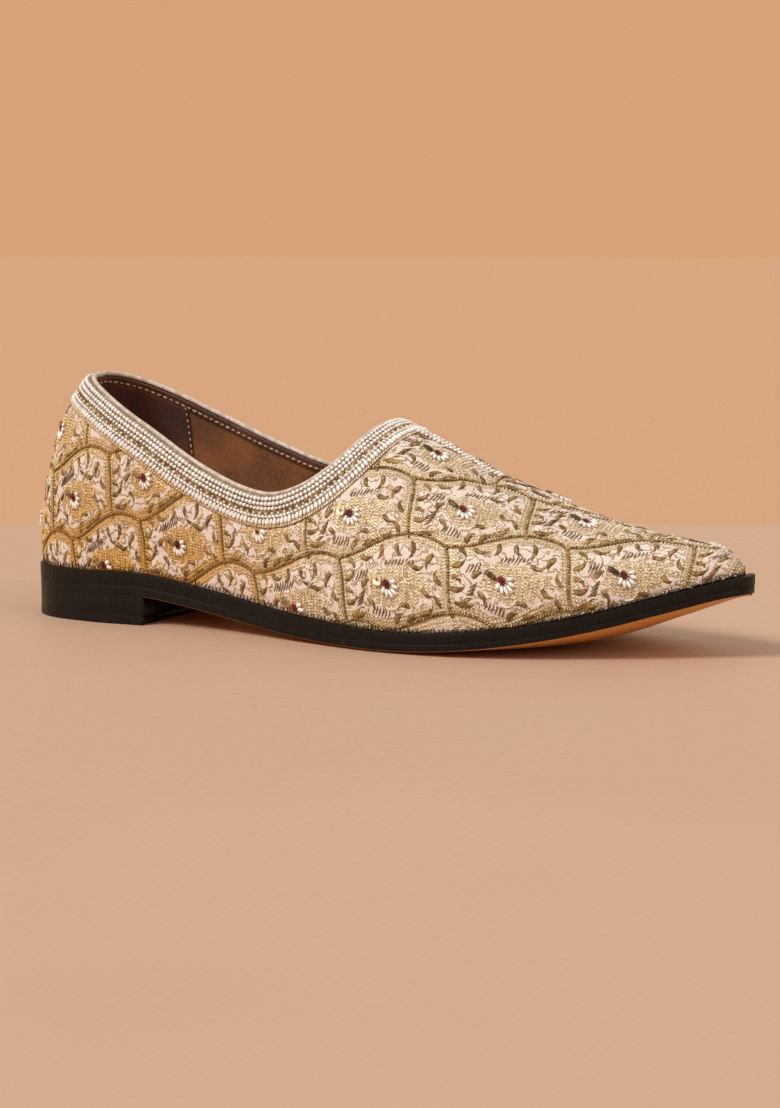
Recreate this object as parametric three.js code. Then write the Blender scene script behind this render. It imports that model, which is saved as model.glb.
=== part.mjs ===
import * as THREE from 'three';

// A pointed slip-on cloth shoe, right foot. Millimetres, +X from heel to toe, +Z up, outer side -Y.

// Driving dimensions
const WALL = 2.2; // upper: cloth, interlining and suede lining together
const BAND_WIDTH = 11.5; // beaded band along the collar
const BAND_STAND = [0.5, 1.15, 1.3, 1.15, 0.5]; // the band's height off the cloth, across its width
const ROLL_RADIUS = 1.45; // rolled edge on top of the collar
const ROLL_SIDES = 6;
const GROOVE_SHARE = 0.42; // share of the sole's edge below the joint between its two layers
const GROOVE_INSET = 0.35; // the lower layer stands in by this much
const BREAST_AT = 62; // front face of the heel
const BREAST_HOLLOW = 3; // how far that face is hollowed at its middle
const TOP_PIECE = 3.4; // ground-touching lift of the heel
const INSOLE = 2.4;
const INSOLE_CLEAR = 1.0; // insole's edge to the upper's inside
const GAP = 0.3; // between curved pieces that meet
const FLAT_GAP = 0.05; // between flat faces that meet
const RIB_STEPS = 8; // faces up the side, below the band
const STATION_STEP = 0.25; // in rows of the last

// The last, one row per section from the heel's back to the toe's tip.
// at, outer, inner: place and half widths of the line where the upper meets the sole.
// axis: how far the middle line bends to the inner side. lift: underside of the sole's edge above
// the floor. edge: thickness of the sole's edge. dome: how much lower the underside's middle is.
// crestAt, crest: the top line the sides rise to. rise, crown, swell: shape of the side's curve.
// welt: how far the sole stands out past the upper.
const COLUMNS = ['at', 'axis', 'outer', 'inner', 'lift', 'edge', 'dome',
  'crestAt', 'crest', 'rise', 'crown', 'swell', 'welt'];
const LAST = [
  [1.5, 0, 0, 0, 11.2, 8.8, 0, 45, 105, 0.5, 0.7, 1.0, 1.5],
  [5, 0, 16.2, 15.8, 11.2, 8.8, 0, 46, 104.5, 0.5, 0.71, 1.0, 1.5],
  [18, 0, 27.4, 27.4, 11.2, 8.8, 0, 49, 103, 0.52, 0.74, 1.4, 1.5],
  [40, 0, 31.8, 32, 11.2, 8.8, 0, 57, 101, 0.54, 0.78, 2.5, 1.5],
  [62, 0, 31.2, 31.2, 11.2, 8.7, 0, 72, 100, 0.53, 0.78, 3.2, 1.5],
  [86, 0, 31.6, 29.4, 8.1, 8.6, 0.6, 91.5, 98.5, 0.53, 0.76, 3.6, 1.5],
  [111, 0, 34.6, 29.8, 4.6, 8.4, 1.2, 113.5, 94.5, 0.52, 0.69, 3.7, 1.6],
  [138, 0, 40.6, 34.2, 1.7, 8, 1.8, 138.5, 85.5, 0.51, 0.6, 3.5, 1.8],
  [170, 0, 47, 41.8, 0.8, 6.9, 2.2, 169, 74.5, 0.5, 0.55, 3.2, 2],
  [198, 0.2, 46.8, 45, 1.9, 6.4, 2.6, 196.5, 61.5, 0.5, 0.52, 3, 2.2],
  [224, 0.5, 40.6, 41, 5.2, 6.3, 4.6, 222, 51.8, 0.5, 0.52, 3, 2.6],
  [247, 0.9, 30.8, 32.3, 10, 6.3, 4.8, 243, 45.4, 0.53, 0.55, 2.5, 3],
  [268, 1.4, 20.4, 22.2, 16, 6.4, 3.1, 262, 41.4, 0.57, 0.59, 1.9, 3.4],
  [283, 1.8, 12, 13, 20.6, 6.4, 1.8, 275, 39.8, 0.54, 0.56, 1.3, 3.8],
  [290.5, 2, 6.6, 6.8, 22.7, 6.5, 0.9, 281, 38.5, 0.48, 0.5, 0.9, 4],
  [293, 2.1, 0, 0, 23, 6.5, 0.6, 283, 38, 0.45, 0.48, 0.8, 4],
];
const TOE = LAST.length - 1;

// The collar's edge seen from the side: x, then its height on the outer and on the inner side.
const COLLAR = [
  [5, 98.5, 98.5],
  [15, 96.6, 96.8],
  [30, 91.2, 92.4],
  [60, 76, 79.2],
  [90, 60.4, 67],
  [115, 53, 59],
  [132, 55.8, 58.6],
  [146, 66.2, 67.2],
  [156, 82, 82.3],
  [164, 99.5, 99.5],
];

const cubic = (a, b, c, d, u) => 0.5 * (2 * b + (c - a) * u
  + (2 * a - 5 * b + 4 * c - d) * u * u + (3 * b - a - 3 * c + d) * u * u * u);

// A column's value at station s, smooth through the rows. Past either end the row is mirrored,
// and widths change sign there so that the outline turns round the end.
function column(name, s) {
  const k = COLUMNS.indexOf(name);
  const turns = name === 'outer' || name === 'inner';
  const value = (row) => {
    if (row >= 0 && row <= TOE) return LAST[row][k];
    const mirrored = LAST[row < 0 ? -row : 2 * TOE - row][k];
    return turns ? -mirrored : mirrored;
  };
  const i = Math.min(Math.floor(s), TOE - 1);
  return cubic(value(i - 1), value(i), value(i + 1), value(i + 2), s - i);
}

// A point on the last's lower outline, moved outward by grow, with its outward direction.
function outlinePoint(s, side, grow = 0) {
  const width = side < 0 ? 'outer' : 'inner';
  const place = (q) => [column('at', q), column('axis', q) + side * column(width, q)];
  const step = 1e-3;
  const a = place(Math.max(s - step, 0));
  const b = place(Math.min(s + step, TOE));
  let out = new THREE.Vector2(-side * (b[1] - a[1]), side * (b[0] - a[0])).normalize();
  if (s === 0) out = new THREE.Vector2(-1, 0);
  if (s === TOE) out = new THREE.Vector2(1, 0);
  const [x, y] = place(s);
  return { x: x + grow * out.x, y: y + grow * out.y, out };
}

// The upper's outside: share t of the way from the sole to the top line at station s.
function ribPoint(s, side, t) {
  const foot = outlinePoint(s, side);
  const low = column('lift', s) + column('edge', s);
  const top = new THREE.Vector3(column('crestAt', s), column('axis', s), column('crest', s));
  const swell = column('swell', s);
  const crown = column('crown', s);
  const a = new THREE.Vector3(foot.x, foot.y, low);
  const b = new THREE.Vector3(foot.x + swell * foot.out.x, foot.y + swell * foot.out.y,
    low + column('rise', s) * (top.z - low));
  const c = new THREE.Vector3(top.x + crown * (a.x - top.x), top.y + crown * (a.y - top.y), top.z);
  const r = 1 - t;
  return a.multiplyScalar(r * r * r).addScaledVector(b, 3 * r * r * t)
    .addScaledVector(c, 3 * r * t * t).addScaledVector(top, t * t * t);
}

// A smooth curve through [x, z] pairs with rising x, as a function of x.
function profile(pairs) {
  const slope = pairs.map((p, i) => {
    const a = pairs[Math.max(i - 1, 0)];
    const b = pairs[Math.min(i + 1, pairs.length - 1)];
    return (b[1] - a[1]) / (b[0] - a[0]);
  });
  const last = pairs.length - 1;
  return (x) => {
    if (x <= pairs[0][0]) return pairs[0][1] + slope[0] * (x - pairs[0][0]);
    if (x >= pairs[last][0]) return pairs[last][1] + slope[last] * (x - pairs[last][0]);
    const i = pairs.findIndex((p) => p[0] > x) - 1;
    const h = pairs[i + 1][0] - pairs[i][0];
    const u = (x - pairs[i][0]) / h;
    return pairs[i][1] * (1 + 2 * u) * (1 - u) ** 2 + slope[i] * h * u * (1 - u) ** 2
      + pairs[i + 1][1] * u * u * (3 - 2 * u) + slope[i + 1] * h * u * u * (u - 1);
  };
}

// The same curve moved down and forward by the band's width, square to itself.
function movedProfile(pairs, distance) {
  const height = profile(pairs);
  const moved = [];
  for (let x = pairs[0][0]; x <= pairs[pairs.length - 1][0]; x += 1.5) {
    const rise = (height(x + 0.1) - height(x - 0.1)) / 0.2;
    const size = Math.hypot(1, rise);
    moved.push([x + distance * rise / size, height(x) - distance / size]);
  }
  return profile(moved.filter((p, i) => i === 0 || p[0] > moved[i - 1][0] + 0.05));
}

const side = { [-1]: COLLAR.map((r) => [r[0], r[1]]), 1: COLLAR.map((r) => [r[0], r[2]]) };
const collarLine = { [-1]: profile(side[-1]), 1: profile(side[1]) };
const bandLine = {
  [-1]: movedProfile(side[-1], BAND_WIDTH), 1: movedProfile(side[1], BAND_WIDTH),
};

// Where the value of a rising test passes zero between low and high.
function crossing(test, low, high) {
  for (let i = 0; i < 50; i += 1) {
    const middle = (low + high) / 2;
    if (test(middle) < 0) low = middle;
    else high = middle;
  }
  return (low + high) / 2;
}

// The station where a line reaches the top line of the last, the same for both sides.
const throatOf = (line) => crossing((s) => {
  const x = column('crestAt', s);
  return (line[-1](x) + line[1](x)) / 2 - column('crest', s);
}, 4, 10);
const throat = throatOf(collarLine);
const bandThroat = throatOf(bandLine);

// How far up the rib at s the line is; 1 where the rib reaches the top line below it.
function shareAt(line, end, s, which) {
  if (s >= end - 1e-9) return 1;
  const blend = THREE.MathUtils.smoothstep(s, end - 1.2, end);
  return crossing((t) => {
    const p = ribPoint(s, which, t);
    const own = line[which](p.x);
    return p.z - (own + blend * ((own + line[-which](p.x)) / 2 - own));
  }, 0.02, 1);
}

// Stations, closer together where the collar and the band run across the instep.
function stations() {
  const list = [];
  for (let s = 0; s <= throat - 0.8; s += STATION_STEP) list.push(s);
  for (let k = 6; k >= 0; k -= 1) list.push(throat - 0.75 * (k / 7) ** 2);
  for (let k = 3; k >= 0; k -= 1) list.push(bandThroat - (bandThroat - throat) * (k / 4) ** 2);
  const first = Math.ceil(bandThroat / STATION_STEP + 0.3) * STATION_STEP;
  for (let s = first; s <= TOE; s += STATION_STEP) list.push(s);
  return list;
}
const STATIONS = stations();

// Ribs all the way round: up the outer side from toe to heel, back along the inner side.
const ribs = [...STATIONS.map((s) => [s, -1]).reverse(), ...STATIONS.slice(1).map((s) => [s, 1])];

class Solid {
  constructor() {
    this.points = [];
    this.faces = [];
    this.known = new Map();
  }

  point(p) {
    const key = [p.x, p.y, p.z].map((v) => Math.round(v * 1e4)).join();
    if (!this.known.has(key)) {
      this.known.set(key, this.points.length);
      this.points.push(p.clone());
    }
    return this.known.get(key);
  }

  face(a, b, c) {
    if (a !== b && b !== c && c !== a) this.faces.push([a, b, c]);
  }

  quad(a, b, c, d) {
    this.face(a, b, c);
    this.face(a, c, d);
  }

  normals() {
    const sum = this.points.map(() => new THREE.Vector3());
    for (const [a, b, c] of this.faces) {
      const [p, q, r] = [this.points[a], this.points[b], this.points[c]];
      const n = q.clone().sub(p).cross(r.clone().sub(p));
      for (const i of [a, b, c]) sum[i].add(n);
    }
    return sum.map((n) => n.normalize());
  }

  mesh(name, look) {
    const geometry = new THREE.BufferGeometry();
    geometry.setAttribute('position',
      new THREE.Float32BufferAttribute(this.points.flatMap((p) => [p.x, p.y, p.z]), 3));
    geometry.setIndex(this.faces.flat());
    geometry.computeVertexNormals();
    const mesh = new THREE.Mesh(geometry, new THREE.MeshStandardMaterial(look));
    mesh.name = name;
    return mesh;
  }
}

// A sheet's two sides and the strips round its open edges. near and far give each point's two
// places from the point and its outward direction.
function thickened(sheet, far, near) {
  const solid = new Solid();
  const directions = sheet.directions ?? sheet.normals();
  const outer = sheet.points.map((p, i) => solid.point(far(p, directions[i], i)));
  const inner = sheet.points.map((p, i) => solid.point(near(p, directions[i], i)));
  const edges = new Set();
  for (const [a, b, c] of sheet.faces) {
    solid.face(outer[a], outer[b], outer[c]);
    solid.face(inner[a], inner[c], inner[b]);
    for (const [i, j] of [[a, b], [b, c], [c, a]]) {
      if (!edges.delete(`${j},${i}`)) edges.add(`${i},${j}`);
    }
  }
  for (const edge of edges) {
    const [i, j] = edge.split(',').map(Number);
    solid.quad(outer[j], outer[i], inner[i], inner[j]);
  }
  return solid;
}

// The grid of outside points: RIB_STEPS faces up to the band, then the band's own.
const BAND_STEPS = BAND_STAND.length - 1;
const grid = ribs.map(([s, which]) => {
  const low = shareAt(bandLine, bandThroat, s, which);
  const high = shareAt(collarLine, throat, s, which);
  const shares = [];
  for (let j = 0; j <= RIB_STEPS; j += 1) shares.push(low * j / RIB_STEPS);
  for (let j = 1; j <= BAND_STEPS; j += 1) shares.push(low + (high - low) * j / BAND_STEPS);
  return shares.map((t) => ribPoint(s, which, t));
});

// A sheet from columns first to last of the grid.
function sheetOf(first, last) {
  const sheet = new Solid();
  const index = grid.map((rib) => rib.slice(first, last + 1).map((p) => sheet.point(p)));
  for (let i = 0; i + 1 < index.length; i += 1) {
    for (let j = 0; j + 1 < index[i].length; j += 1) {
      sheet.quad(index[i][j], index[i][j + 1], index[i + 1][j + 1], index[i + 1][j]);
    }
  }
  return sheet;
}

const outside = sheetOf(0, RIB_STEPS + BAND_STEPS);
outside.directions = outside.normals();

function buildUpper() {
  const floor = new Set(grid.map((rib) => outside.point(rib[0])));
  const lifted = (p) => p.clone().setZ(p.z + GAP);
  return thickened(outside,
    (p, n, i) => (floor.has(i) ? lifted(p) : p),
    (p, n, i) => {
      const moved = p.clone().addScaledVector(n, -WALL);
      return floor.has(i) ? lifted(moved.setZ(p.z)) : moved;
    });
}

function buildBand() {
  const sheet = sheetOf(RIB_STEPS, RIB_STEPS + BAND_STEPS);
  sheet.directions = sheet.points.map((p) => outside.directions[outside.point(p)]);
  const stand = new Map();
  for (const rib of grid) {
    for (let j = 0; j <= BAND_STEPS; j += 1) {
      const k = sheet.point(rib[RIB_STEPS + j]);
      if (!stand.has(k)) stand.set(k, BAND_STAND[j]);
    }
  }
  return thickened(sheet,
    (p, n, i) => p.clone().addScaledVector(n, GAP + stand.get(i)),
    (p, n) => p.clone().addScaledVector(n, GAP));
}

// The collar's edge as a closed ring of outside points, each once.
function collarRing() {
  const ring = [];
  grid.forEach((rib, i) => {
    if (ribs[i][0] > throat + 1e-9) return;
    const p = rib[rib.length - 1];
    const end = ring[ring.length - 1];
    if (!end || end.distanceTo(p) > 1e-4) ring.push(p);
  });
  if (ring[0].distanceTo(ring[ring.length - 1]) < 1e-4) ring.pop();
  return ring;
}

function buildRoll() {
  const ring = collarRing();
  const solid = new Solid();
  const loops = ring.map((p, i) => {
    const n = outside.directions[outside.point(p)];
    const along = ring[(i + 1) % ring.length].clone().sub(ring.at(i - 1)).normalize();
    const up = new THREE.Vector3().crossVectors(along, n).normalize();
    const centre = p.clone().addScaledVector(n, -WALL / 2).addScaledVector(up, ROLL_RADIUS + GAP);
    const loop = [];
    for (let k = 0; k < ROLL_SIDES; k += 1) {
      const a = (k + 0.5) * 2 * Math.PI / ROLL_SIDES;
      loop.push(solid.point(centre.clone().addScaledVector(n, ROLL_RADIUS * Math.cos(a))
        .addScaledVector(up, ROLL_RADIUS * Math.sin(a))));
    }
    return loop;
  });
  loops.forEach((loop, i) => {
    const next = loops[(i + 1) % loops.length];
    loop.forEach((_, k) => {
      const m = (k + 1) % ROLL_SIDES;
      solid.quad(loop[k], loop[m], next[m], next[k]);
    });
  });
  return solid;
}

// A slab from rows of points across, top and bottom, that closes where a row has no width.
function slab(rows) {
  const solid = new Solid();
  const made = rows.map((row) => ({
    top: row.top.map((p) => solid.point(p)), bottom: row.bottom.map((p) => solid.point(p)),
  }));
  const m = rows[0].top.length - 1;
  for (let i = 0; i + 1 < made.length; i += 1) {
    const [a, b] = [made[i], made[i + 1]];
    for (let j = 0; j < m; j += 1) {
      solid.quad(a.top[j], b.top[j], b.top[j + 1], a.top[j + 1]);
      solid.quad(a.bottom[j], a.bottom[j + 1], b.bottom[j + 1], b.bottom[j]);
    }
    solid.quad(a.top[0], a.bottom[0], b.bottom[0], b.top[0]);
    solid.quad(a.top[m], b.top[m], b.bottom[m], a.bottom[m]);
  }
  for (const [end, turn] of [[made[0], true], [made[made.length - 1], false]]) {
    for (let j = 0; j < m; j += 1) {
      const q = [end.top[j], end.bottom[j], end.bottom[j + 1], end.top[j + 1]];
      if (turn) q.reverse();
      if (end.top[0] !== end.top[m]) solid.quad(...q);
    }
  }
  return solid;
}

// A row across the sole at station s; height gives the two z values from u, -1 to 1 across.
function across(s, grow, steps, heights, hollow = 0) {
  const a = outlinePoint(s, -1, grow);
  const b = outlinePoint(s, 1, grow);
  const row = { top: [], bottom: [] };
  for (let j = 0; j <= steps; j += 1) {
    const share = j / steps;
    const u = 2 * share - 1;
    const [low, high] = heights(u);
    const x = a.x + (b.x - a.x) * share - hollow * (1 - u * u);
    const y = a.y + (b.y - a.y) * share;
    row.top.push(new THREE.Vector3(x, y, high));
    row.bottom.push(new THREE.Vector3(x, y, low));
  }
  return row;
}

const SOLE_STATIONS = [];
for (let s = 0; s <= TOE; s += STATION_STEP) SOLE_STATIONS.push(s);
const jointAt = (s) => column('lift', s) + GROOVE_SHARE * column('edge', s);

function buildMidsole() {
  return slab(SOLE_STATIONS.map((s) => across(s, column('welt', s), 2,
    () => [jointAt(s) + GAP / 2, column('lift', s) + column('edge', s)])));
}

function buildOutsole() {
  return slab(SOLE_STATIONS.map((s) => across(s, column('welt', s) - GROOVE_INSET, 6, (u) => {
    const low = column('lift', s) - column('dome', s) * (1 - u * u);
    return [Math.max(low, 0), jointAt(s) - GAP / 2];
  })));
}

// Heel layers: the outline back to the breast, whose face is hollowed at its middle.
const breast = crossing((s) => column('at', s) - BREAST_AT, 2, 6);
function heelLayer(low, high) {
  const places = SOLE_STATIONS.filter((s) => s < breast - 0.1);
  places.push(breast);
  return slab(places.map((s) => across(s, column('welt', s) - GROOVE_INSET, 4,
    () => [low, high(s)], BREAST_HOLLOW * THREE.MathUtils.smoothstep(s, breast - 2, breast))));
}

function buildInsole() {
  const places = SOLE_STATIONS.filter((s) => s < TOE - 0.6);
  const inset = -(WALL + INSOLE_CLEAR);
  return slab(places.map((s) => across(s, inset, 2, () => {
    const floor = column('lift', s) + column('edge', s) + GAP;
    return [floor, floor + INSOLE];
  })));
}

const shoe = new THREE.Group();
shoe.name = 'mojari_shoe';
shoe.add(
  buildUpper().mesh('upper', { color: 0xd9c29a, roughness: 0.7, metalness: 0.1 }),
  buildBand().mesh('collar_band', { color: 0xe9e2d8, roughness: 0.6, metalness: 0 }),
  buildRoll().mesh('collar_roll', { color: 0xf2eee8, roughness: 0.7, metalness: 0 }),
  buildInsole().mesh('insole', { color: 0x8a5a2e, roughness: 0.8, metalness: 0 }),
  buildMidsole().mesh('midsole', { color: 0x1e1816, roughness: 0.5, metalness: 0 }),
  buildOutsole().mesh('outsole', { color: 0xc6853f, roughness: 0.6, metalness: 0 }),
  heelLayer(TOP_PIECE + FLAT_GAP, (s) => column('lift', s) - GAP)
    .mesh('heel_block', { color: 0x241c19, roughness: 0.5, metalness: 0 }),
  heelLayer(0, () => TOP_PIECE).mesh('heel_top_piece', { color: 0x1a1514, roughness: 0.8, metalness: 0 }),
);

// The origin goes to the floor, at the middle of the whole shoe's length and width.
const middle = new THREE.Box3().setFromObject(shoe).getCenter(new THREE.Vector3());
for (const mesh of shoe.children) mesh.geometry.translate(-middle.x, -middle.y, 0);

export default shoe;
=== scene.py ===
# %% [markdown]
# # A brocade mojari, sewn flat and pulled over a last
# A mojari is a pointed slip-on shoe. Its maker weaves and embroiders the cloth while it lies
# flat, pulls it over a wooden last, and closes it under the foot with a thin black-edged
# leather sole. The lesson goes the same way. First comes the last as a formula. Then comes
# the cloth, with a flat map that says where each millimetre of it lay on the table. Every cord,
# leaf and bead is then placed on that flat map and carried over the last by Geometry Nodes.
# Sizes are in millimetres in the maker's own frame, and one function turns them into metres.

# %% Load the frame that the construction gives
import math

import bmesh
import bpy
import numpy as np
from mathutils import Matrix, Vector


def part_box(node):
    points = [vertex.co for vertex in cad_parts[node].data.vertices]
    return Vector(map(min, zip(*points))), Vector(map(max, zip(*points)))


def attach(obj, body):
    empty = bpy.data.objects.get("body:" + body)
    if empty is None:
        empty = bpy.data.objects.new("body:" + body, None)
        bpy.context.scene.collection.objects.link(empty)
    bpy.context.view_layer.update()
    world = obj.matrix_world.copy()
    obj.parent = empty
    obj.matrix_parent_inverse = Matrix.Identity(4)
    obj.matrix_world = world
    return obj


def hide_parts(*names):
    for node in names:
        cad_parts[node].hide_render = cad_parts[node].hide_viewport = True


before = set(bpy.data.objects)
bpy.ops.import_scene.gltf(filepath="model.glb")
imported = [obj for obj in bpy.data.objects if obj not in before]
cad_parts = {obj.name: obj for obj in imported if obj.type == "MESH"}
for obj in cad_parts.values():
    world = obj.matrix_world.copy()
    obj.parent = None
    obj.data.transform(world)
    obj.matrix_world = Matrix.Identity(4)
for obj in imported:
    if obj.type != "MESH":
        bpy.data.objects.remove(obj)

bpy.context.view_layer.update()
MM = 0.001
OUTER, INNER = -1, 1

# %% [markdown]
# ## The last
# A last is a smooth form, so a short table of sections says all of it: where the upper meets
# the sole, how wide it is there, how high the top line is, and how full the side's curve is.
# Catmull-Rom through the rows gives any section between them. A sculpted mesh could be the
# last as well, but with a formula every later piece can ask for a point and a normal exactly.

# %% The last's table and its smooth columns
COLUMNS = ("at", "axis", "outer", "inner", "lift", "edge", "dome",
           "crest_at", "crest", "rise", "crown", "swell", "welt")
LAST = (
    (1.5, 0, 0, 0, 11.2, 8.8, 0, 45, 105, 0.5, 0.7, 1.0, 1.5),
    (5, 0, 16.2, 15.8, 11.2, 8.8, 0, 46, 104.5, 0.5, 0.71, 1.0, 1.5),
    (18, 0, 27.4, 27.4, 11.2, 8.8, 0, 49, 103, 0.52, 0.74, 1.4, 1.5),
    (40, 0, 31.8, 32, 11.2, 8.8, 0, 57, 101, 0.54, 0.78, 2.5, 1.5),
    (62, 0, 31.2, 31.2, 11.2, 8.7, 0, 72, 100, 0.53, 0.78, 3.2, 1.5),
    (86, 0, 31.6, 29.4, 8.1, 8.6, 0.6, 91.5, 98.5, 0.53, 0.76, 3.6, 1.5),
    (111, 0, 34.6, 29.8, 4.6, 8.4, 1.2, 113.5, 94.5, 0.52, 0.69, 3.7, 1.6),
    (138, 0, 40.6, 34.2, 1.7, 8, 1.8, 138.5, 85.5, 0.51, 0.6, 3.5, 1.8),
    (170, 0, 47, 41.8, 0.8, 6.9, 2.2, 169, 74.5, 0.5, 0.55, 3.2, 2),
    (198, 0.2, 46.8, 45, 1.9, 6.4, 2.6, 196.5, 61.5, 0.5, 0.52, 3, 2.2),
    (224, 0.5, 40.6, 41, 5.2, 6.3, 4.6, 222, 51.8, 0.5, 0.52, 3, 2.6),
    (247, 0.9, 30.8, 32.3, 10, 6.3, 4.8, 243, 45.4, 0.53, 0.55, 2.5, 3),
    (268, 1.4, 20.4, 22.2, 16, 6.4, 3.1, 262, 41.4, 0.57, 0.59, 1.9, 3.4),
    (283, 1.8, 12, 13, 20.6, 6.4, 1.8, 275, 39.8, 0.54, 0.56, 1.3, 3.8),
    (290.5, 2, 6.6, 6.8, 22.7, 6.5, 0.9, 281, 38.5, 0.48, 0.5, 0.9, 4),
    (293, 2.1, 0, 0, 23, 6.5, 0.6, 283, 38, 0.45, 0.48, 0.8, 4),
)
TABLE = np.array(LAST, float)
TOE = len(LAST) - 1


def column(name, s):
    """A column at stations s; past either end the row is mirrored and widths change sign."""
    values = TABLE[:, COLUMNS.index(name)]
    turns = -1.0 if name in ("outer", "inner") else 1.0
    padded = np.concatenate([[turns * values[1]], values, [turns * values[-2]]])
    s = np.asarray(s, float)
    row = np.clip(np.floor(s).astype(int), 0, TOE - 1)
    u = s - row
    a, b, c, d = (padded[row + k] for k in range(4))
    return 0.5 * (2 * b + (c - a) * u + (2 * a - 5 * b + 4 * c - d) * u**2
                  + (3 * b - a - 3 * c + d) * u**3)


def outline(s, side, grow=0.0):
    """The plan line where upper meets sole, moved out by grow, and its outward direction."""
    s = np.asarray(s, float)
    width = "outer" if side < 0 else "inner"

    def place(q):
        return np.stack([column("at", q), column("axis", q) + side * column(width, q)], -1)

    step = 1e-3
    ahead = place(np.minimum(s + step, TOE)) - place(np.maximum(s - step, 0))
    out = np.stack([-side * ahead[..., 1], side * ahead[..., 0]], -1)
    out = out / np.linalg.norm(out, axis=-1, keepdims=True)
    out = np.where((s <= 0)[..., None], [-1.0, 0.0], out)
    out = np.where((s >= TOE)[..., None], [1.0, 0.0], out)
    return place(s) + np.asarray(grow)[..., None] * out, out


def last_point(s, side, t):
    """A point on the upper's outside: share t of the way from the sole to the top line."""
    s, t = np.broadcast_arrays(np.asarray(s, float), np.asarray(t, float))
    foot, out = outline(s, side)
    low = column("lift", s) + column("edge", s)
    top = np.stack([column("crest_at", s), column("axis", s), column("crest", s)], -1)
    a = np.concatenate([foot, low[..., None]], -1)
    swell = column("swell", s)[..., None] * out
    b = a + np.concatenate([swell, (column("rise", s) * (top[..., 2] - low))[..., None]], -1)
    level = column("crown", s)[..., None] * (a - top)[..., :2]
    c = top + np.concatenate([level, 0 * level[..., :1]], -1)
    t = t[..., None]
    r = 1 - t
    return r**3 * a + 3 * r * r * t * b + 3 * r * t * t * c + t**3 * top


def last_normal(s, side, t):
    """The direction straight out of the upper there."""
    s, t = np.broadcast_arrays(np.asarray(s, float), np.asarray(t, float))
    step = 2e-3
    along = last_point(np.minimum(s + step, TOE), side, t) - last_point(np.maximum(s - step, 0), side, t)
    up = last_point(s, side, np.minimum(t + step, 1)) - last_point(s, side, np.maximum(t - step, 0))
    normal = -side * np.cross(along, up)
    return normal / np.maximum(np.linalg.norm(normal, axis=-1, keepdims=True), 1e-12)


sole_back = outline(np.linspace(0, TOE, 2000), OUTER, column("welt", np.linspace(0, TOE, 2000)))[0]
SHIFT = np.array([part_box("midsole")[0].x / MM - sole_back[:, 0].min(),
                  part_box("midsole")[0].y / MM - sole_back[:, 1].min(), 0.0])
print("the last's frame moves by", SHIFT.round(3), "mm")

# %% [markdown]
# ## Small helpers
# Each mesh is made once from plain points, its doubles are merged, and it is shaded smooth.
# Merging matters where both sides of the shoe meet: at the heel's back, along the instep's
# ridge and at the toe.

# %% Turning points into objects
def in_frame(points):
    """Millimetres on the last to metres in the shared frame."""
    return (np.asarray(points, float) + SHIFT) * MM


def weld(mesh, distance):
    """Merge points closer than a distance in millimetres, and drop what has no area."""
    bm = bmesh.new()
    bm.from_mesh(mesh)
    bmesh.ops.remove_doubles(bm, verts=bm.verts, dist=distance * MM)
    bmesh.ops.dissolve_degenerate(bm, edges=bm.edges, dist=distance * MM * 0.5)
    bm.to_mesh(mesh)
    bm.free()
    mesh.shade_smooth()


def store(mesh, name, values):
    """Keep a number or a vector on each point, for finishes and trees to read."""
    values = np.asarray(values, np.float32)
    kind, field = ("FLOAT", "value") if values.ndim == 1 else ("FLOAT_VECTOR", "vector")
    mesh.attributes.new(name, kind, "POINT").data.foreach_set(field, values.ravel())


def make_mesh(name, points, faces, uv=None, merge=0.004, shift=True, edges=()):
    """A smooth mesh object from points in millimetres; uv is one pair for each point."""
    mesh = bpy.data.meshes.new(name)
    placed = in_frame(points) if shift else np.asarray(points, float) * MM
    mesh.from_pydata(placed.tolist(), list(edges), [list(map(int, f)) for f in faces])
    if uv is not None:
        layer = mesh.uv_layers.new(name="UVMap")
        corners = np.empty(len(mesh.loops), int)
        mesh.loops.foreach_get("vertex_index", corners)
        layer.data.foreach_set("uv", np.asarray(uv, np.float32)[corners].ravel())
    if merge:
        weld(mesh, merge)
    mesh.shade_smooth()
    thing = bpy.data.objects.new(name, mesh)
    bpy.context.scene.collection.objects.link(thing)
    return thing


def grid_faces(rows, columns, wrap_rows=False, wrap_columns=False, flip=False):
    """Quads over a grid of rows x columns points."""
    faces = []
    for i in range(rows if wrap_rows else rows - 1):
        for j in range(columns if wrap_columns else columns - 1):
            m, n = (i + 1) % rows, (j + 1) % columns
            quad = [i * columns + j, i * columns + n, m * columns + n, m * columns + j]
            faces.append(quad[::-1] if flip else quad)
    return faces


def both_sides(name, grids, merge=0.05, uv=None):
    """One sheet from a grid of points, sections by rows, on the outer and on the inner side."""
    faces, start = [], 0
    for side, grid in zip((OUTER, INNER), grids):
        for face in grid_faces(*grid.shape[:2], flip=side == OUTER):
            faces.append([start + k for k in face])
        start += grid.shape[0] * grid.shape[1]
    points = np.concatenate([grid.reshape(-1, 3) for grid in grids])
    return make_mesh(name, points, faces, uv=uv, merge=merge)


def face_outwards(thing):
    """Recalculate a closed mesh's normals so that all of them point out."""
    bm = bmesh.new()
    bm.from_mesh(thing.data)
    bmesh.ops.recalc_face_normals(bm, faces=bm.faces)
    bm.to_mesh(thing.data)
    bm.free()


def even_stations(count, side=OUTER):
    """Stations from heel to toe at even steps round the sole's edge."""
    s = np.linspace(0, TOE, 6001)
    walk = np.linalg.norm(np.diff(outline(s, side)[0], axis=0), axis=1)
    walked = np.concatenate([[0], np.cumsum(walk)])
    return np.interp(np.linspace(0, walked[-1], count), walked, s)


# %% [markdown]
# ## The collar line
# From the side the collar is one drawn line: high at the heel, low under the ankle, and up
# again to a tongue-like throat on the instep. The same line moved square to itself gives every
# bead row of the border, so the rows stay parallel round the whole opening.

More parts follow.
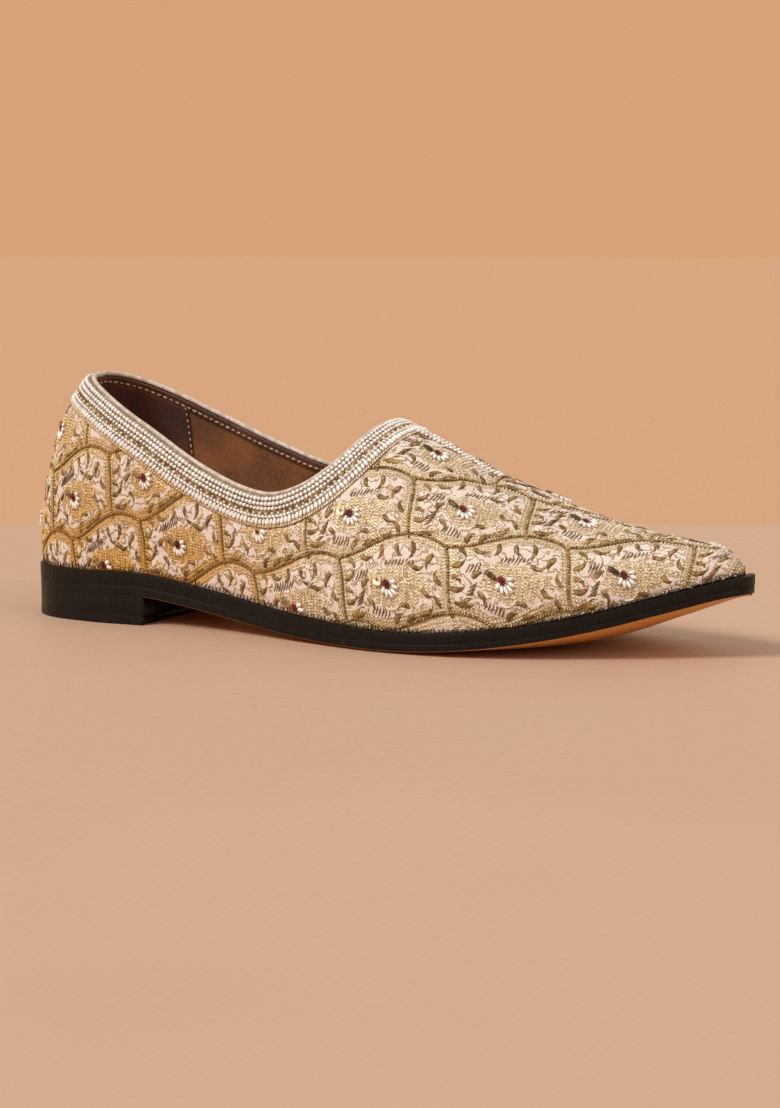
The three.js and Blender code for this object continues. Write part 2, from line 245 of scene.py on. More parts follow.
# %% Collar heights, moved lines and their trails round the shoe
COLLAR = ((5, 98.5, 98.5), (15, 96.6, 96.8), (30, 91.2, 92.4), (60, 76, 79.2), (90, 60.4, 67),
          (115, 53, 59), (132, 55.8, 58.6), (146, 66.2, 67.2), (156, 82, 82.3), (164, 99.5, 99.5))
WALL = 2.2
BAND_WIDTH = 11.5


def drawn_line(at, height):
    """A smooth line z(x) through points, straight past its ends."""
    at, height = np.asarray(at, float), np.asarray(height, float)
    last = len(at) - 1
    before, after = np.maximum(np.arange(last + 1) - 1, 0), np.minimum(np.arange(last + 1) + 1, last)
    slope = (height[after] - height[before]) / (at[after] - at[before])

    def line(x):
        x = np.asarray(x, float)
        i = np.clip(np.searchsorted(at, x, side="right") - 1, 0, last - 1)
        h = at[i + 1] - at[i]
        u = (x - at[i]) / h
        inside = (height[i] * (1 + 2 * u) * (1 - u)**2 + slope[i] * h * u * (1 - u)**2
                  + height[i + 1] * u * u * (3 - 2 * u) + slope[i + 1] * h * u * u * (u - 1))
        below = height[0] + slope[0] * (x - at[0])
        above = height[last] + slope[last] * (x - at[last])
        return np.where(x <= at[0], below, np.where(x >= at[last], above, inside))

    return line


def moved_line(at, height, distance):
    """The same line moved square to itself, down and forward."""
    line = drawn_line(at, height)
    x = np.arange(at[0], at[-1] + 1e-6, 1.5)
    rise = (line(x + 0.1) - line(x - 0.1)) / 0.2
    size = np.hypot(1, rise)
    moved = np.stack([x + distance * rise / size, line(x) - distance / size], -1)
    kept = [moved[0]]
    for k in range(1, len(moved)):
        if moved[k, 0] > moved[k - 1, 0] + 0.05:
            kept.append(moved[k])
    kept = np.array(kept)
    return drawn_line(kept[:, 0], kept[:, 1])


def smoothstep(x, low, high):
    u = np.clip((np.asarray(x, float) - low) / (high - low), 0, 1)
    return u * u * (3 - 2 * u)


class Border:
    """One line round the opening, a distance below the collar's edge."""

    def __init__(self, distance):
        rows = np.array(COLLAR, float)
        self.line = {OUTER: moved_line(rows[:, 0], rows[:, 1], distance),
                     INNER: moved_line(rows[:, 0], rows[:, 2], distance)}
        s = np.linspace(4, 10, 4001)
        x = column("crest_at", s)
        over = (self.line[OUTER](x) + self.line[INNER](x)) / 2 - column("crest", s)
        self.end = float(s[np.argmax(over > 0)])

    def share(self, s, side):
        """How far up each section the line crosses it; 1 past the throat."""
        s = np.asarray(s, float)
        blend = smoothstep(s, self.end - 1.2, self.end) / 2
        low, high = np.full(s.shape, 0.02), np.ones(s.shape)
        for _ in range(34):
            middle = (low + high) / 2
            p = last_point(s, side, middle)
            own = self.line[side](p[..., 0])
            target = own + blend * (self.line[-side](p[..., 0]) - own)
            under = p[..., 2] < target
            low, high = np.where(under, middle, low), np.where(under, high, middle)
        return np.where(s >= self.end, 1.0, (low + high) / 2)

    def half_trail(self, side, count, stand):
        """Evenly spaced points and normals from the heel's back to the throat, on one side."""
        w = np.linspace(0, 1, 1500)
        s = self.end * (1 - (1 - w)**2.2)
        t = self.share(s, side)
        points, normals = last_point(s, side, t), last_normal(s, side, t)
        walk = np.concatenate([[0], np.cumsum(np.linalg.norm(np.diff(points, axis=0), axis=1))])
        even = np.linspace(0, walk[-1], count)
        points = np.stack([np.interp(even, walk, points[:, k]) for k in range(3)], -1)
        normals = np.stack([np.interp(even, walk, normals[:, k]) for k in range(3)], -1)
        normals /= np.linalg.norm(normals, axis=1, keepdims=True)
        return points + stand * normals, normals

    def trail(self, count=420, stand=0.0):
        """The whole loop: out along the outer side, back along the inner side."""
        a, an = self.half_trail(OUTER, count, stand)
        b, bn = self.half_trail(INNER, count, stand)
        return np.concatenate([a, b[-2:0:-1]]), np.concatenate([an, bn[-2:0:-1]])


collar = Border(0.0)
band_foot = Border(BAND_WIDTH)
print("throat at x", column("crest_at", collar.end).round(1), "band ends at x",
      column("crest_at", band_foot.end).round(1))

# %% [markdown]
# ## Node helpers
# Both kinds of node tree are built from Python, and one helper does for both: it adds a node,
# sets its options, and joins or fills its inputs.

# %% Adding nodes and groups
def put(tree, kind, inputs=None, **options):
    """Add a node; inputs maps a socket's name or number to a value or to another socket."""
    node = tree.nodes.new(kind)
    for option, value in options.items():
        setattr(node, option, value)
    for key, value in (inputs or {}).items():
        if isinstance(value, bpy.types.NodeSocket):
            tree.links.new(value, node.inputs[key])
        else:
            node.inputs[key].default_value = value
    return node


def result(tree, kind, inputs=None, **options):
    """Add a node and give its first output."""
    return put(tree, kind, inputs, **options).outputs[0]


def maths(tree, operation, *values):
    """One Math node's result."""
    return result(tree, "ShaderNodeMath", dict(enumerate(values)), operation=operation)


def vectors(tree, operation, *values):
    """One Vector Math node's result."""
    inputs = dict(enumerate(values))
    if operation == "SCALE":
        inputs = {0: values[0], "Scale": values[1]}
    return result(tree, "ShaderNodeVectorMath", inputs, operation=operation)


def parts_of(tree, vector):
    """A vector's three numbers."""
    return put(tree, "ShaderNodeSeparateXYZ", {0: vector}).outputs


def ramp(tree, value, low, high, start=0.0, end=1.0, kind="LINEAR"):
    """From start to end while the value goes from low to high, and level past both."""
    inputs = {"Value": value, "From Min": low, "From Max": high, "To Min": start, "To Max": end}
    return result(tree, "ShaderNodeMapRange", inputs, interpolation_type=kind)


def new_group(name, kind, ins, outs):
    """A node group; ins and outs map a socket's name to its type, or to its default number."""
    tree = bpy.data.node_groups.new(name, kind)
    for direction, sockets in (("INPUT", ins), ("OUTPUT", outs)):
        for label, given in sockets.items():
            typed = isinstance(given, str)
            made = tree.interface.new_socket(label, in_out=direction,
                                             socket_type=given if typed else SOCKET_FOR[type(given)])
            if not typed:
                made.default_value = given
    return tree, put(tree, "NodeGroupInput").outputs, put(tree, "NodeGroupOutput").inputs


FLOAT, VECTOR, INT, BOOL = "NodeSocketFloat", "NodeSocketVector", "NodeSocketInt", "NodeSocketBool"
SOCKET_FOR = {float: FLOAT, int: INT, bool: BOOL}
GEOMETRY, OBJECT, MATERIAL = "NodeSocketGeometry", "NodeSocketObject", "NodeSocketMaterial"
print("helpers ready")

# %% [markdown]
# ## Shared surface effects
# Threads, leather grain, nap and wear turn up in several finishes, so each is a shader group
# with named inputs. A group only gives out masks and heights. The Principled shader that uses
# them stays in its material, where its own numbers are easy to find.

# %% Group: small uneven patches, for dye, dirt and fading, and for painted glint specks
SHADER = "ShaderNodeTree"


def build_patches():
    tree, given, gives = new_group(
        "patches", SHADER,
        {"Place": VECTOR, "Patch Size": 0.01, "Detail": 3.0,
         "Low": 0.35, "High": 0.65},
        {"Mask": FLOAT})
    scale = maths(tree, "DIVIDE", 1.0, given["Patch Size"])
    noise = put(tree, "ShaderNodeTexNoise",
                {"Vector": given["Place"], "Scale": scale, "Detail": given["Detail"]})
    spread = ramp(tree, noise.outputs[0], given["Low"], given["High"], kind="SMOOTHSTEP")
    tree.links.new(spread, gives["Mask"])
    return tree


# %% Group: zigzag gold threads, laid in rows like tiny chevrons
def build_zigzag():
    tree, given, gives = new_group(
        "zigzag_threads", SHADER,
        {"Flat Place": VECTOR, "Row": 1.0, "Zig": 1.6,
         "Swing": 0.6},
        {"Thread": FLOAT, "Glint": FLOAT})
    parts = parts_of(tree, given["Flat Place"])
    across = maths(tree, "DIVIDE", parts[0], given["Zig"])
    swing = maths(tree, "MULTIPLY", maths(tree, "PINGPONG", across, 1.0), given["Swing"])
    row = maths(tree, "DIVIDE", parts[1], given["Row"])
    turned = maths(tree, "ADD", row, swing)
    wave = maths(tree, "MULTIPLY", maths(tree, "PINGPONG", turned, 0.5), 2.0)
    tree.links.new(maths(tree, "POWER", wave, 0.7), gives["Thread"])
    cell = result(tree, "ShaderNodeCombineXYZ",
                  {0: maths(tree, "FLOOR", maths(tree, "MULTIPLY", across, 2.0)),
                   1: maths(tree, "FLOOR", turned)})
    tree.links.new(result(tree, "ShaderNodeTexWhiteNoise", {0: cell}), gives["Glint"])
    return tree


# %% Group: plain woven cloth, threads over and under
def build_weave():
    tree, given, gives = new_group(
        "fine_weave", SHADER,
        {"Flat Place": VECTOR, "Pitch": 0.5},
        {"Height": FLOAT, "Over": FLOAT})
    scaled = vectors(tree, "SCALE", given["Flat Place"],
                     maths(tree, "DIVIDE", math.pi, given["Pitch"]))
    parts = parts_of(tree, scaled)
    warp = maths(tree, "ABSOLUTE", maths(tree, "SINE", parts[0]))
    weft = maths(tree, "ABSOLUTE", maths(tree, "SINE", parts[1]))
    over = maths(tree, "MULTIPLY", maths(tree, "SIGN", maths(tree, "SINE", parts[0])),
                 maths(tree, "SIGN", maths(tree, "SINE", parts[1])))
    over = maths(tree, "MULTIPLY_ADD", over, 0.5, 0.5)
    height = result(tree, "ShaderNodeMix", {0: over, 2: warp, 3: weft})
    tree.links.new(height, gives["Height"])
    tree.links.new(over, gives["Over"])
    return tree


# %% Group: the pores, creases and nap of leather
def build_grain():
    tree, given, gives = new_group(
        "leather_grain", SHADER,
        {"Place": VECTOR, "Grain Size": 0.0009, "Nap": 0.0},
        {"Height": FLOAT})
    scale = maths(tree, "DIVIDE", 1.0, given["Grain Size"])
    pebbles = result(tree, "ShaderNodeTexVoronoi", {"Vector": given["Place"], "Scale": scale},
                     feature="SMOOTH_F1")
    fuzz = result(tree, "ShaderNodeTexNoise",
                  {"Vector": given["Place"], "Scale": maths(tree, "MULTIPLY", scale, 2.5),
                   "Detail": 4.0})
    mixed = result(tree, "ShaderNodeMix", {0: given["Nap"], 2: pebbles, 3: fuzz})
    tree.links.new(mixed, gives["Height"])
    return tree


# %% Group: plies of a twisted thread or cord, read along its own map
def build_plies():
    tree, given, gives = new_group(
        "thread_plies", SHADER,
        {"Thread Map": VECTOR, "Plies": 3.0, "Slant": 0.5},
        {"Height": FLOAT})
    parts = parts_of(tree, given["Thread Map"])
    slanted = maths(tree, "ADD", maths(tree, "MULTIPLY", parts[0], given["Plies"]),
                    maths(tree, "MULTIPLY", parts[1], given["Slant"]))
    tree.links.new(maths(tree, "MULTIPLY", maths(tree, "PINGPONG", slanted, 0.5), 2.0),
                   gives["Height"])
    return tree


# %% Group: how far towards the heel and the sole a place is, where the gold is amber
def build_heelward():
    tree, given, gives = new_group(
        "heelward_amber", SHADER,
        {"Place": VECTOR, "Start": 0.0, "Full": -0.07,
         "High": 0.06, "Low": 0.02},
        {"Mask": FLOAT})
    parts = parts_of(tree, given["Place"])
    back = ramp(tree, parts[0], given["Start"], given["Full"])
    down = ramp(tree, parts[2], given["High"], given["Low"])
    tree.links.new(maths(tree, "MULTIPLY", maths(tree, "MULTIPLY_ADD", down, 0.5, 0.5), back),
                   gives["Mask"])
    return tree


PATCHES, ZIGZAG, WEAVE = build_patches(), build_zigzag(), build_weave()
GRAIN, PLIES, HEELWARD = build_grain(), build_plies(), build_heelward()
print("surface groups", [g.name for g in (PATCHES, ZIGZAG, WEAVE, GRAIN, PLIES, HEELWARD)])

# %% [markdown]
# ## Finishes
# Each finish starts from the same short recipe: a Principled shader, two tones mixed by a
# mask, and a bump from a height. The function takes those tones and the shader's plain values,
# and it hands back what a special finish still needs to join up.

# %% The common recipe for a finish
def tone(red, green, blue):
    """A colour as a maker would mix it, 0 to 255, in linear light for the shader."""
    def linear(v):
        v = v / 255
        return v / 12.92 if v <= 0.04045 else ((v + 0.055) / 1.055)**2.4
    return (linear(red), linear(green), linear(blue), 1.0)


def use(tree, group, inputs):
    """Place a shared group in a material."""
    return put(tree, "ShaderNodeGroup", inputs, node_tree=group).outputs


def patches(tree, place, size, low=0.35, high=0.65, detail=3.0):
    """The mask of the shared patches."""
    return use(tree, PATCHES, {"Place": place, "Patch Size": size, "Detail": detail,
                               "Low": low, "High": high})["Mask"]


def mix(tree, factor, first, second):
    """One colour over another by a mask."""
    return put(tree, "ShaderNodeMix", {0: factor, 6: first, 7: second},
               data_type="RGBA").outputs[2]


def bump(tree, height, depth, under=None):
    """Height in millimetres of relief, on top of another normal if there is one."""
    inputs = {"Height": height, "Strength": 1.0, "Distance": depth * MM}
    if under is not None:
        inputs["Normal"] = under
    return result(tree, "ShaderNodeBump", inputs)


def start_finish(name, **plain):
    """An empty material with its Principled shader; plain values go on the shader's sockets."""
    material = bpy.data.materials.new(name)
    material.use_nodes = True
    tree = material.node_tree
    shader = tree.nodes["Principled BSDF"]
    for key, value in plain.items():
        shader.inputs[key.replace("_", " ")].default_value = value
    return material, tree, shader


def place_of(tree):
    return put(tree, "ShaderNodeTexCoord").outputs["Object"]


def map_of(tree, name="UVMap"):
    return result(tree, "ShaderNodeUVMap", uv_map=name)


def thread_finish(name, light, dark, rough, metallic, plies=4.0, slant=0.0, depth=0.12,
                  patch_size=0.0022, amber=None, **plain):
    """Thread, beads and braid: two tones by patches, and a painted shade in the hollows between plies.
    """
    material, tree, shader = start_finish(name, Metallic=metallic, **plain)
    place = place_of(tree)
    patch = patches(tree, place, patch_size, 0.4, 0.6)
    ply = use(tree, PLIES, {"Thread Map": map_of(tree), "Plies": plies, "Slant": slant})["Height"]
    # Painted shade: the colour darkens in the hollows between plies, towards a third of the dark tone.
    hollow = maths(tree, "MULTIPLY", maths(tree, "SUBTRACT", 1.0, ply), 0.55)
    base = mix(tree, patch, light, dark)
    if amber:
        base = mix(tree, use(tree, HEELWARD, {"Place": place})["Mask"], base, tone(*amber))
    shade = tuple(0.35 * v for v in dark[:3]) + (1.0,)
    tree.links.new(mix(tree, hollow, base, shade), shader.inputs["Base Color"])
    tree.links.new(maths(tree, "MULTIPLY_ADD", patch, 0.18, rough), shader.inputs["Roughness"])
    tree.links.new(bump(tree, ply, depth), shader.inputs["Normal"])
    return material


def leather_finish(name, light, dark, rough, grain, nap, depth, patch_size=0.02, **plain):
    """Leather and suede: patchy dye, with grain or nap."""
    material, tree, shader = start_finish(name, **plain)
    place = place_of(tree)
    broad = patches(tree, place, patch_size, detail=5.0)
    fine = patches(tree, place, patch_size / 14, 0.3, 0.7)
    skin = use(tree, GRAIN, {"Place": place, "Grain Size": grain, "Nap": nap})
    tint = maths(tree, "MULTIPLY_ADD", fine, 0.35, maths(tree, "MULTIPLY", broad, 0.65))
    tree.links.new(mix(tree, tint, light, dark), shader.inputs["Base Color"])
    tree.links.new(maths(tree, "MULTIPLY_ADD", fine, 0.15, rough), shader.inputs["Roughness"])
    tree.links.new(bump(tree, skin["Height"], depth), shader.inputs["Normal"])
    return material


IVORY, IVORY_WARM = tone(250, 235, 227), tone(234, 214, 196)
# Threads: light tone, dark tone, roughness, metal, and what else differs from the recipe.
THREADS = {
    "couched_cord": ((206, 172, 110), (112, 82, 44), 0.36, 0.15,
                     dict(plies=1.0, patch_size=0.0012, amber=(176, 128, 62))),
    "light_gold_stitch": ((254, 248, 230), (230, 206, 160), 0.28, 0.1,
                          dict(plies=1.0, patch_size=0.0014, amber=(246, 202, 112))),
    "leaf_satin": ((182, 146, 80), (116, 84, 40), 0.34, 0.15, dict(plies=1.6, slant=1.0)),
    "fern_thread": ((150, 112, 58), (98, 68, 32), 0.4, 0.1, dict(plies=1.0)),
    "red_knot": ((158, 28, 52), (104, 12, 30), 0.32, 0.0, dict(Specular_IOR_Level=0.6)),
    "white_bead": ((250, 247, 243), (236, 228, 222), 0.2, 0.0,
                   dict(plies=1.0, depth=0.03, Coat_Weight=0.35)),
    "sequin_gold": ((250, 238, 200), (236, 214, 158), 0.2, 0.1, dict(depth=0.02)),
    "dark_leaf_bead": ((116, 86, 36), (58, 42, 18), 0.24, 0.3, dict(depth=0.05)),
    "band_thread": ((214, 190, 150), (128, 96, 56), 0.45, 0.2, {}),
    "band_ground": ((214, 200, 184), (170, 148, 120), 0.6, 0.0, {}),
    "white_roll": ((230, 217, 206), (200, 181, 162), 0.5, 0.0,
                   dict(plies=1.0, depth=0.08, Sheen_Weight=0.2)),
    "cream_stitch": ((232, 206, 158), (196, 160, 104), 0.5, 0.0, {}),
    "welt_fringe": ((70, 52, 32), (34, 26, 18), 0.6, 0.0, {}),
}
# Leathers: light tone, dark tone, roughness, grain size, nap, relief, and what else differs.
LEATHERS = {
    "suede_lining": ((158, 94, 38), (108, 58, 20), 0.82, 0.0007, 1.0, 0.10, dict(Sheen_Weight=0.25)),
    "suede_pocket": ((104, 56, 34), (66, 33, 20), 0.85, 0.0007, 1.0, 0.10, dict(Sheen_Weight=0.2)),
    "sock_leather": ((160, 104, 54), (122, 74, 34), 0.55, 0.0011, 0.25, 0.08, {}),
    "sole_leather": ((222, 162, 84), (202, 140, 68), 0.42, 0.0012, 0.3, 0.04, dict(patch_size=0.03)),
    "heel_tread": ((34, 29, 27), (20, 17, 16), 0.66, 0.0008, 0.4, 0.05, {}),
}
finish = {}
for recipe, table in ((thread_finish, THREADS), (leather_finish, LEATHERS)):
    for name, (light, dark, *values, more) in table.items():
        finish[name] = recipe(name, tone(*light), tone(*dark), *values, **more)
print(len(finish), "finishes from the common recipes")

# %% [markdown]
# ## Black edge paint
# The sole's edge is sealed with black paint. It has a low shine, fine upright sanding lines and
# a few specks of dust low down near the floor.

# %% Finish: the painted edge
DUST_HEIGHT = 0.009


def edge_finish():
    material, tree, shader = start_finish("black_edge_paint", Specular_IOR_Level=0.22)
    place = place_of(tree)
    streaks = result(tree, "ShaderNodeMapping", {"Vector": place, "Scale": (1.0, 1.0, 0.08)})
    fine = patches(tree, streaks, 0.0009, detail=4.0)
    broad = patches(tree, place, 0.012, 0.4, 0.7)
    speck = patches(tree, place, 0.0016, 0.66, 0.74)
    skin = use(tree, GRAIN, {"Place": place, "Grain Size": 0.0006, "Nap": 0.6})
    low = ramp(tree, parts_of(tree, place)[2], DUST_HEIGHT, 0.0)
    base = mix(tree, broad, tone(13, 9, 8), tone(8, 6, 5))
    base = mix(tree, maths(tree, "MULTIPLY", fine, 0.45), base, tone(24, 17, 13))
    dust = maths(tree, "MULTIPLY", maths(tree, "MULTIPLY", low, speck), 0.25)
    tree.links.new(mix(tree, dust, base, tone(126, 100, 80)), shader.inputs["Base Color"])
    tree.links.new(maths(tree, "MULTIPLY_ADD", fine, 0.16, 0.36), shader.inputs["Roughness"])
    relief = bump(tree, skin["Height"], 0.03)
    tree.links.new(bump(tree, fine, 0.03, relief), shader.inputs["Normal"])
    return material


finish["black_edge_paint"] = edge_finish()

# %% [markdown]
# ## The floor, the light and the eye
# A pale warm floor, one lamp with soft shadows from the heel side, a weaker one from the toe
# side and an even sky light the shoe as in a product picture. Past a straight line behind the
# shoe the floor takes a wall's deeper tone. The camera looks from the outer side, turned a
# little towards the toe, low over the floor.

# %% Floor, lamps and camera
VIEW_AZIMUTH, VIEW_ELEVATION = 27.97, 6.74
VIEW_DISTANCE = 983.8
VIEW_TARGET = (153.1, -0.4, 29.5)
SENSOR, FOCAL_LENGTH = 36.0, 84.4765  # millimetres
AWAY = (-math.sin(math.radians(VIEW_AZIMUTH)), math.cos(math.radians(VIEW_AZIMUTH)), 0.0)
JOIN_AT, JOIN_SOFTNESS = 0.381, 0.012  # metres behind the shoe
FLOOR_HALF = 30000


def floor_finish():
    """Paper over the floor; past a straight line behind the shoe it takes the wall's deeper tone."""
    material, tree, shader = start_finish("floor_paint", Specular_IOR_Level=0.25)
    place = place_of(tree)
    broad = patches(tree, place, 0.35, 0.3, 0.7)
    fine = patches(tree, place, 0.004)
    near = mix(tree, broad, tone(194, 160, 135), tone(190, 155, 130))
    behind = put(tree, "ShaderNodeVectorMath", {0: place, 1: AWAY},
                 operation="DOT_PRODUCT").outputs["Value"]
    wall = ramp(tree, behind, JOIN_AT - JOIN_SOFTNESS, JOIN_AT + JOIN_SOFTNESS)
    base = mix(tree, wall, near, tone(195, 151, 115))
    tree.links.new(base, shader.inputs["Base Color"])
    tree.links.new(maths(tree, "MULTIPLY_ADD", fine, 0.1, 0.5), shader.inputs["Roughness"])
    tree.links.new(bump(tree, fine, 0.02), shader.inputs["Normal"])
    return material


def lay_floor():
    corners = [(x * FLOOR_HALF, y * FLOOR_HALF, 0) for x, y in ((-1, -1), (1, -1), (1, 1), (-1, 1))]
    floor = make_mesh("floor", corners, [(0, 1, 2, 3)], merge=0)
    floor.data.materials.append(floor_finish())


def aim(name, data, azimuth, elevation, target=(0, 0, 0), distance=1.0):
    """Stand a lamp or a camera in a direction from the target, looking at it."""
    a, e = math.radians(azimuth), math.radians(elevation)
    back = Vector((math.sin(a) * math.cos(e), -math.cos(a) * math.cos(e), math.sin(e)))
    thing = bpy.data.objects.new(name, data)
    thing.location = Vector(target) + back * distance
    thing.rotation_mode = "QUATERNION"
    thing.rotation_quaternion = (-back).to_track_quat("-Z", "Y")
    bpy.context.scene.collection.objects.link(thing)
    return thing


def soft_lamp(name, azimuth, elevation, power, spread, colour):
    """A distant lamp aimed at the shoe; its spread, in degrees, is how soft its shadows are."""
    light = bpy.data.lights.new(name, "SUN")
    light.energy = power
    light.angle = math.radians(spread)
    light.color = colour
    aim(name, light, azimuth, elevation)


def place_camera():
    data = bpy.data.cameras.new("eye")
    data.sensor_width = SENSOR
    data.lens = FOCAL_LENGTH
    eye = aim("eye", data, VIEW_AZIMUTH, VIEW_ELEVATION, in_frame([VIEW_TARGET])[0], VIEW_DISTANCE * MM)
    bpy.context.scene.camera = eye
    return eye


def light_sky():
    """A paper wall's tone near the horizon, and a pale neutral dome above it."""
    world = bpy.data.worlds.new("studio_sky")
    world.use_nodes = True
    tree = world.node_tree
    sky = tree.nodes["Background"]
    direction = put(tree, "ShaderNodeTexCoord").outputs["Object"]
    height = parts_of(tree, direction)[2]
    up = ramp(tree, height, 0.2, 0.5, kind="SMOOTHSTEP")
    tree.links.new(mix(tree, up, tone(215, 163, 121), tone(212, 208, 202)), sky.inputs["Color"])
    bpy.context.scene.world = world


lay_floor()
light_sky()
soft_lamp("key_lamp", -30, 46, 2.3, 20, (1.0, 0.98, 0.95))
soft_lamp("fill_lamp", 72, 28, 0.5, 40, (1.0, 0.97, 0.94))
eye = place_camera()
bpy.context.scene.view_settings.view_transform = "Standard"
print("eye at", [round(v, 4) for v in eye.location])

# %% [markdown]
# ## The cloth lying flat
# The weaver's pattern repeats on flat cloth, so each point of the upper needs to know where it
# lay. U runs along the shoe, V runs down each section from the top line. Towards the heel the
# cloth is turned and stretched a little as it is pulled round, and two small terms say how much.

# %% The cloth's flat map
FLAT_SPAN = 440.0
HEEL_TURN, HEEL_EASE, HEEL_FROM = 0.22, 0.0018, -20.0
REFERENCE_STATION = 7.45


class FlatMap:
    """Flat cloth coordinates, in millimetres, for any section and share on one side."""

    def __init__(self, side, stations=601, shares=201):
        self.side = side
        self.s, self.t = np.linspace(0, TOE, stations), np.linspace(0, 1, shares)
        grid = last_point(self.s[:, None], side, self.t[None, :])
        down = np.linalg.norm(np.diff(grid, axis=1), axis=2)
        walked = np.concatenate([np.zeros((stations, 1)), np.cumsum(down, 1)], 1)
        self.fall = walked[:, -1:] - walked
        self.climb = walked
        on = np.linalg.norm(np.diff(grid, axis=0), axis=2)
        along = np.concatenate([np.zeros((1, shares)), np.cumsum(on, 0)], 0)
        start = np.argmin(abs(self.s - REFERENCE_STATION))
        self.along = along - along[start]

    def read(self, table, s, t):
        """Bilinear reading of one of the tables."""
        x = np.clip(s / TOE * (len(self.s) - 1), 0, len(self.s) - 1.0001)
        y = np.clip(t * (len(self.t) - 1), 0, len(self.t) - 1.0001)
        i, j = x.astype(int), y.astype(int)
        u, v = x - i, y - j
        return ((table[i, j] * (1 - v) + table[i, j + 1] * v) * (1 - u)
                + (table[i + 1, j] * (1 - v) + table[i + 1, j + 1] * v) * u)

    def flat(self, s, t):
        """Flat place of the cloth at a section and share."""
        along, fall = self.read(self.along, s, t), self.read(self.fall, s, t)
        pulled = np.maximum(0, HEEL_FROM - along)
        return np.stack([along - HEEL_EASE * pulled**2,
                         self.side * (fall + HEEL_TURN * pulled)], -1)


flat_map = {OUTER: FlatMap(OUTER), INNER: FlatMap(INNER)}
print("flat cloth, outer side, toe to heel:",
      flat_map[OUTER].flat(np.array([0.0, TOE]), np.array([0.0, 0.0])).round(0).tolist())

# %% [markdown]
# ## The pattern repeat
# The brocade is a half-drop net of pointed cells. Two steps carry one cell to its neighbours,
# and three short walls, repeated, draw the whole net. Each wall is a soft ogee, so it is a
# cubic curve with its ends leaning opposite ways.

# %% One cell of the net, in millimetres on the flat cloth
STEP_A, STEP_B = np.array([43.0, 21.0]), np.array([-20.0, 19.5])
FIRST_FLOWER = np.array([25.0, -71.0])
CORNERS = {"top": (8.3, 22.5), "right_top": (21.1, 23.2), "right": (25.0, 0.0),
           "bottom": (-4.6, -19.7), "left_bottom": (-17.4, -20.4), "left_top": (-22.4, 2.6)}
WALLS = (("left_top", "left_bottom", 2.0, -1.2), ("top", "right_top", 0.9, 1.6),
         ("left_top", "top", -3.0, 2.6))


def wall_curve(start, end, lean_start, lean_end, steps=18):
    """A soft ogee between two corners; the leans push it sideways near each end."""
    a, b = np.array(CORNERS[start]), np.array(CORNERS[end])
    aside = np.array([-(b - a)[1], (b - a)[0]]) / np.linalg.norm(b - a)
    first, second = a + (b - a) / 3 + aside * lean_start, b - (b - a) / 3 + aside * lean_end
    t = np.linspace(0, 1, steps + 1)[:, None]
    r = 1 - t
    return r**3 * a + 3 * r * r * t * first + 3 * r * t * t * second + t**3 * b


walls = [wall_curve(*wall) for wall in WALLS]
NET_STEPS = np.stack([STEP_A, STEP_B])
NET_SHARES = np.linalg.inv(NET_STEPS.T)
NEIGHBOURS = [i * STEP_A + j * STEP_B for i in (-1, 0, 1, 2) for j in (-1, 0, 1, 2)]


def from_own_corner(p):
    """Flat points measured from the net's corner below them, so that one cell stands for all."""
    share = (p - FIRST_FLOWER) @ NET_SHARES.T
    return p - FIRST_FLOWER - np.floor(share) @ NET_STEPS


def nearest_on_walls(p):
    """Distance from flat points to the net's walls."""
    local = from_own_corner(p)
    best = np.full(len(p), 1e9)
    for step in NEIGHBOURS:
        for wall in walls:
            line = wall + step
            for a, b in zip(line[:-3:3], line[3::3]):
                d = b - a
                h = np.clip(((local - a) @ d) / (d @ d), 0, 1)
                best = np.minimum(best, np.linalg.norm(local - a - h[:, None] * d, axis=1))
    return best


def own_flower(p):
    """Flat points measured from the flower of the cell that they are in."""
    local = from_own_corner(p)
    outline_names = ("top", "right_top", "right", "bottom", "left_bottom", "left_top")
    ring = np.array([CORNERS[name] for name in outline_names])
    found = local.copy()
    for step in NEIGHBOURS:
        q = local - step
        inside = np.ones(len(p), bool)
        for a, b in zip(ring, np.roll(ring, -1, axis=0)):
            inside &= (b - a)[0] * (q - a)[:, 1] - (b - a)[1] * (q - a)[:, 0] <= 0.0
        found[inside] = q[inside]
    return found


print("cell area", round(abs(np.cross(STEP_A, STEP_B)).item()), "square mm")

# %% [markdown]
# ## The upper's cloth
# The cloth is a fine grid over the last, cut at the collar line. Between the cords it puffs up
# less than a millimetre, because the stitches pull it down along them. A few long creases are put
# where a foot bends the shoe. The distance to the nearest cord, the place in the cell, and
# the room left to the cloth's edges are stored on the points, for the finish and the sewing.

# %% Creases: start and end on the flat cloth, width, depth
CREASES = (((-28, -66), (-2, -78), 3.4, -0.55), ((-22, -60), (2, -70), 3.0, 0.4),
           ((36, -3), (44, -22), 2.6, 0.8), ((47, -1), (52, -20), 2.8, -0.6),
           ((34, 4), (42, 24), 3.0, 0.6), ((-36, 64), (-8, 76), 3.2, -0.5),
           ((-110, -96), (-78, -104), 3.5, -0.45))
PUFF = 0.75
CLOTH_RIBS, CLOTH_ROWS = 310, 72


def crease_relief(p):
    """Soft troughs and ridges, in millimetres."""
    relief = np.zeros(len(p))
    for start, end, width, depth in CREASES:
        a, b = np.array(start, float), np.array(end, float)
        h = np.clip(((p - a) @ (b - a)) / ((b - a) @ (b - a)), 0, 1)
        away = np.linalg.norm(p - a - h[:, None] * (b - a), axis=1)
        relief += depth * np.exp(-(away / width)**2) * np.sin(np.pi * (0.12 + 0.76 * h))
    return relief


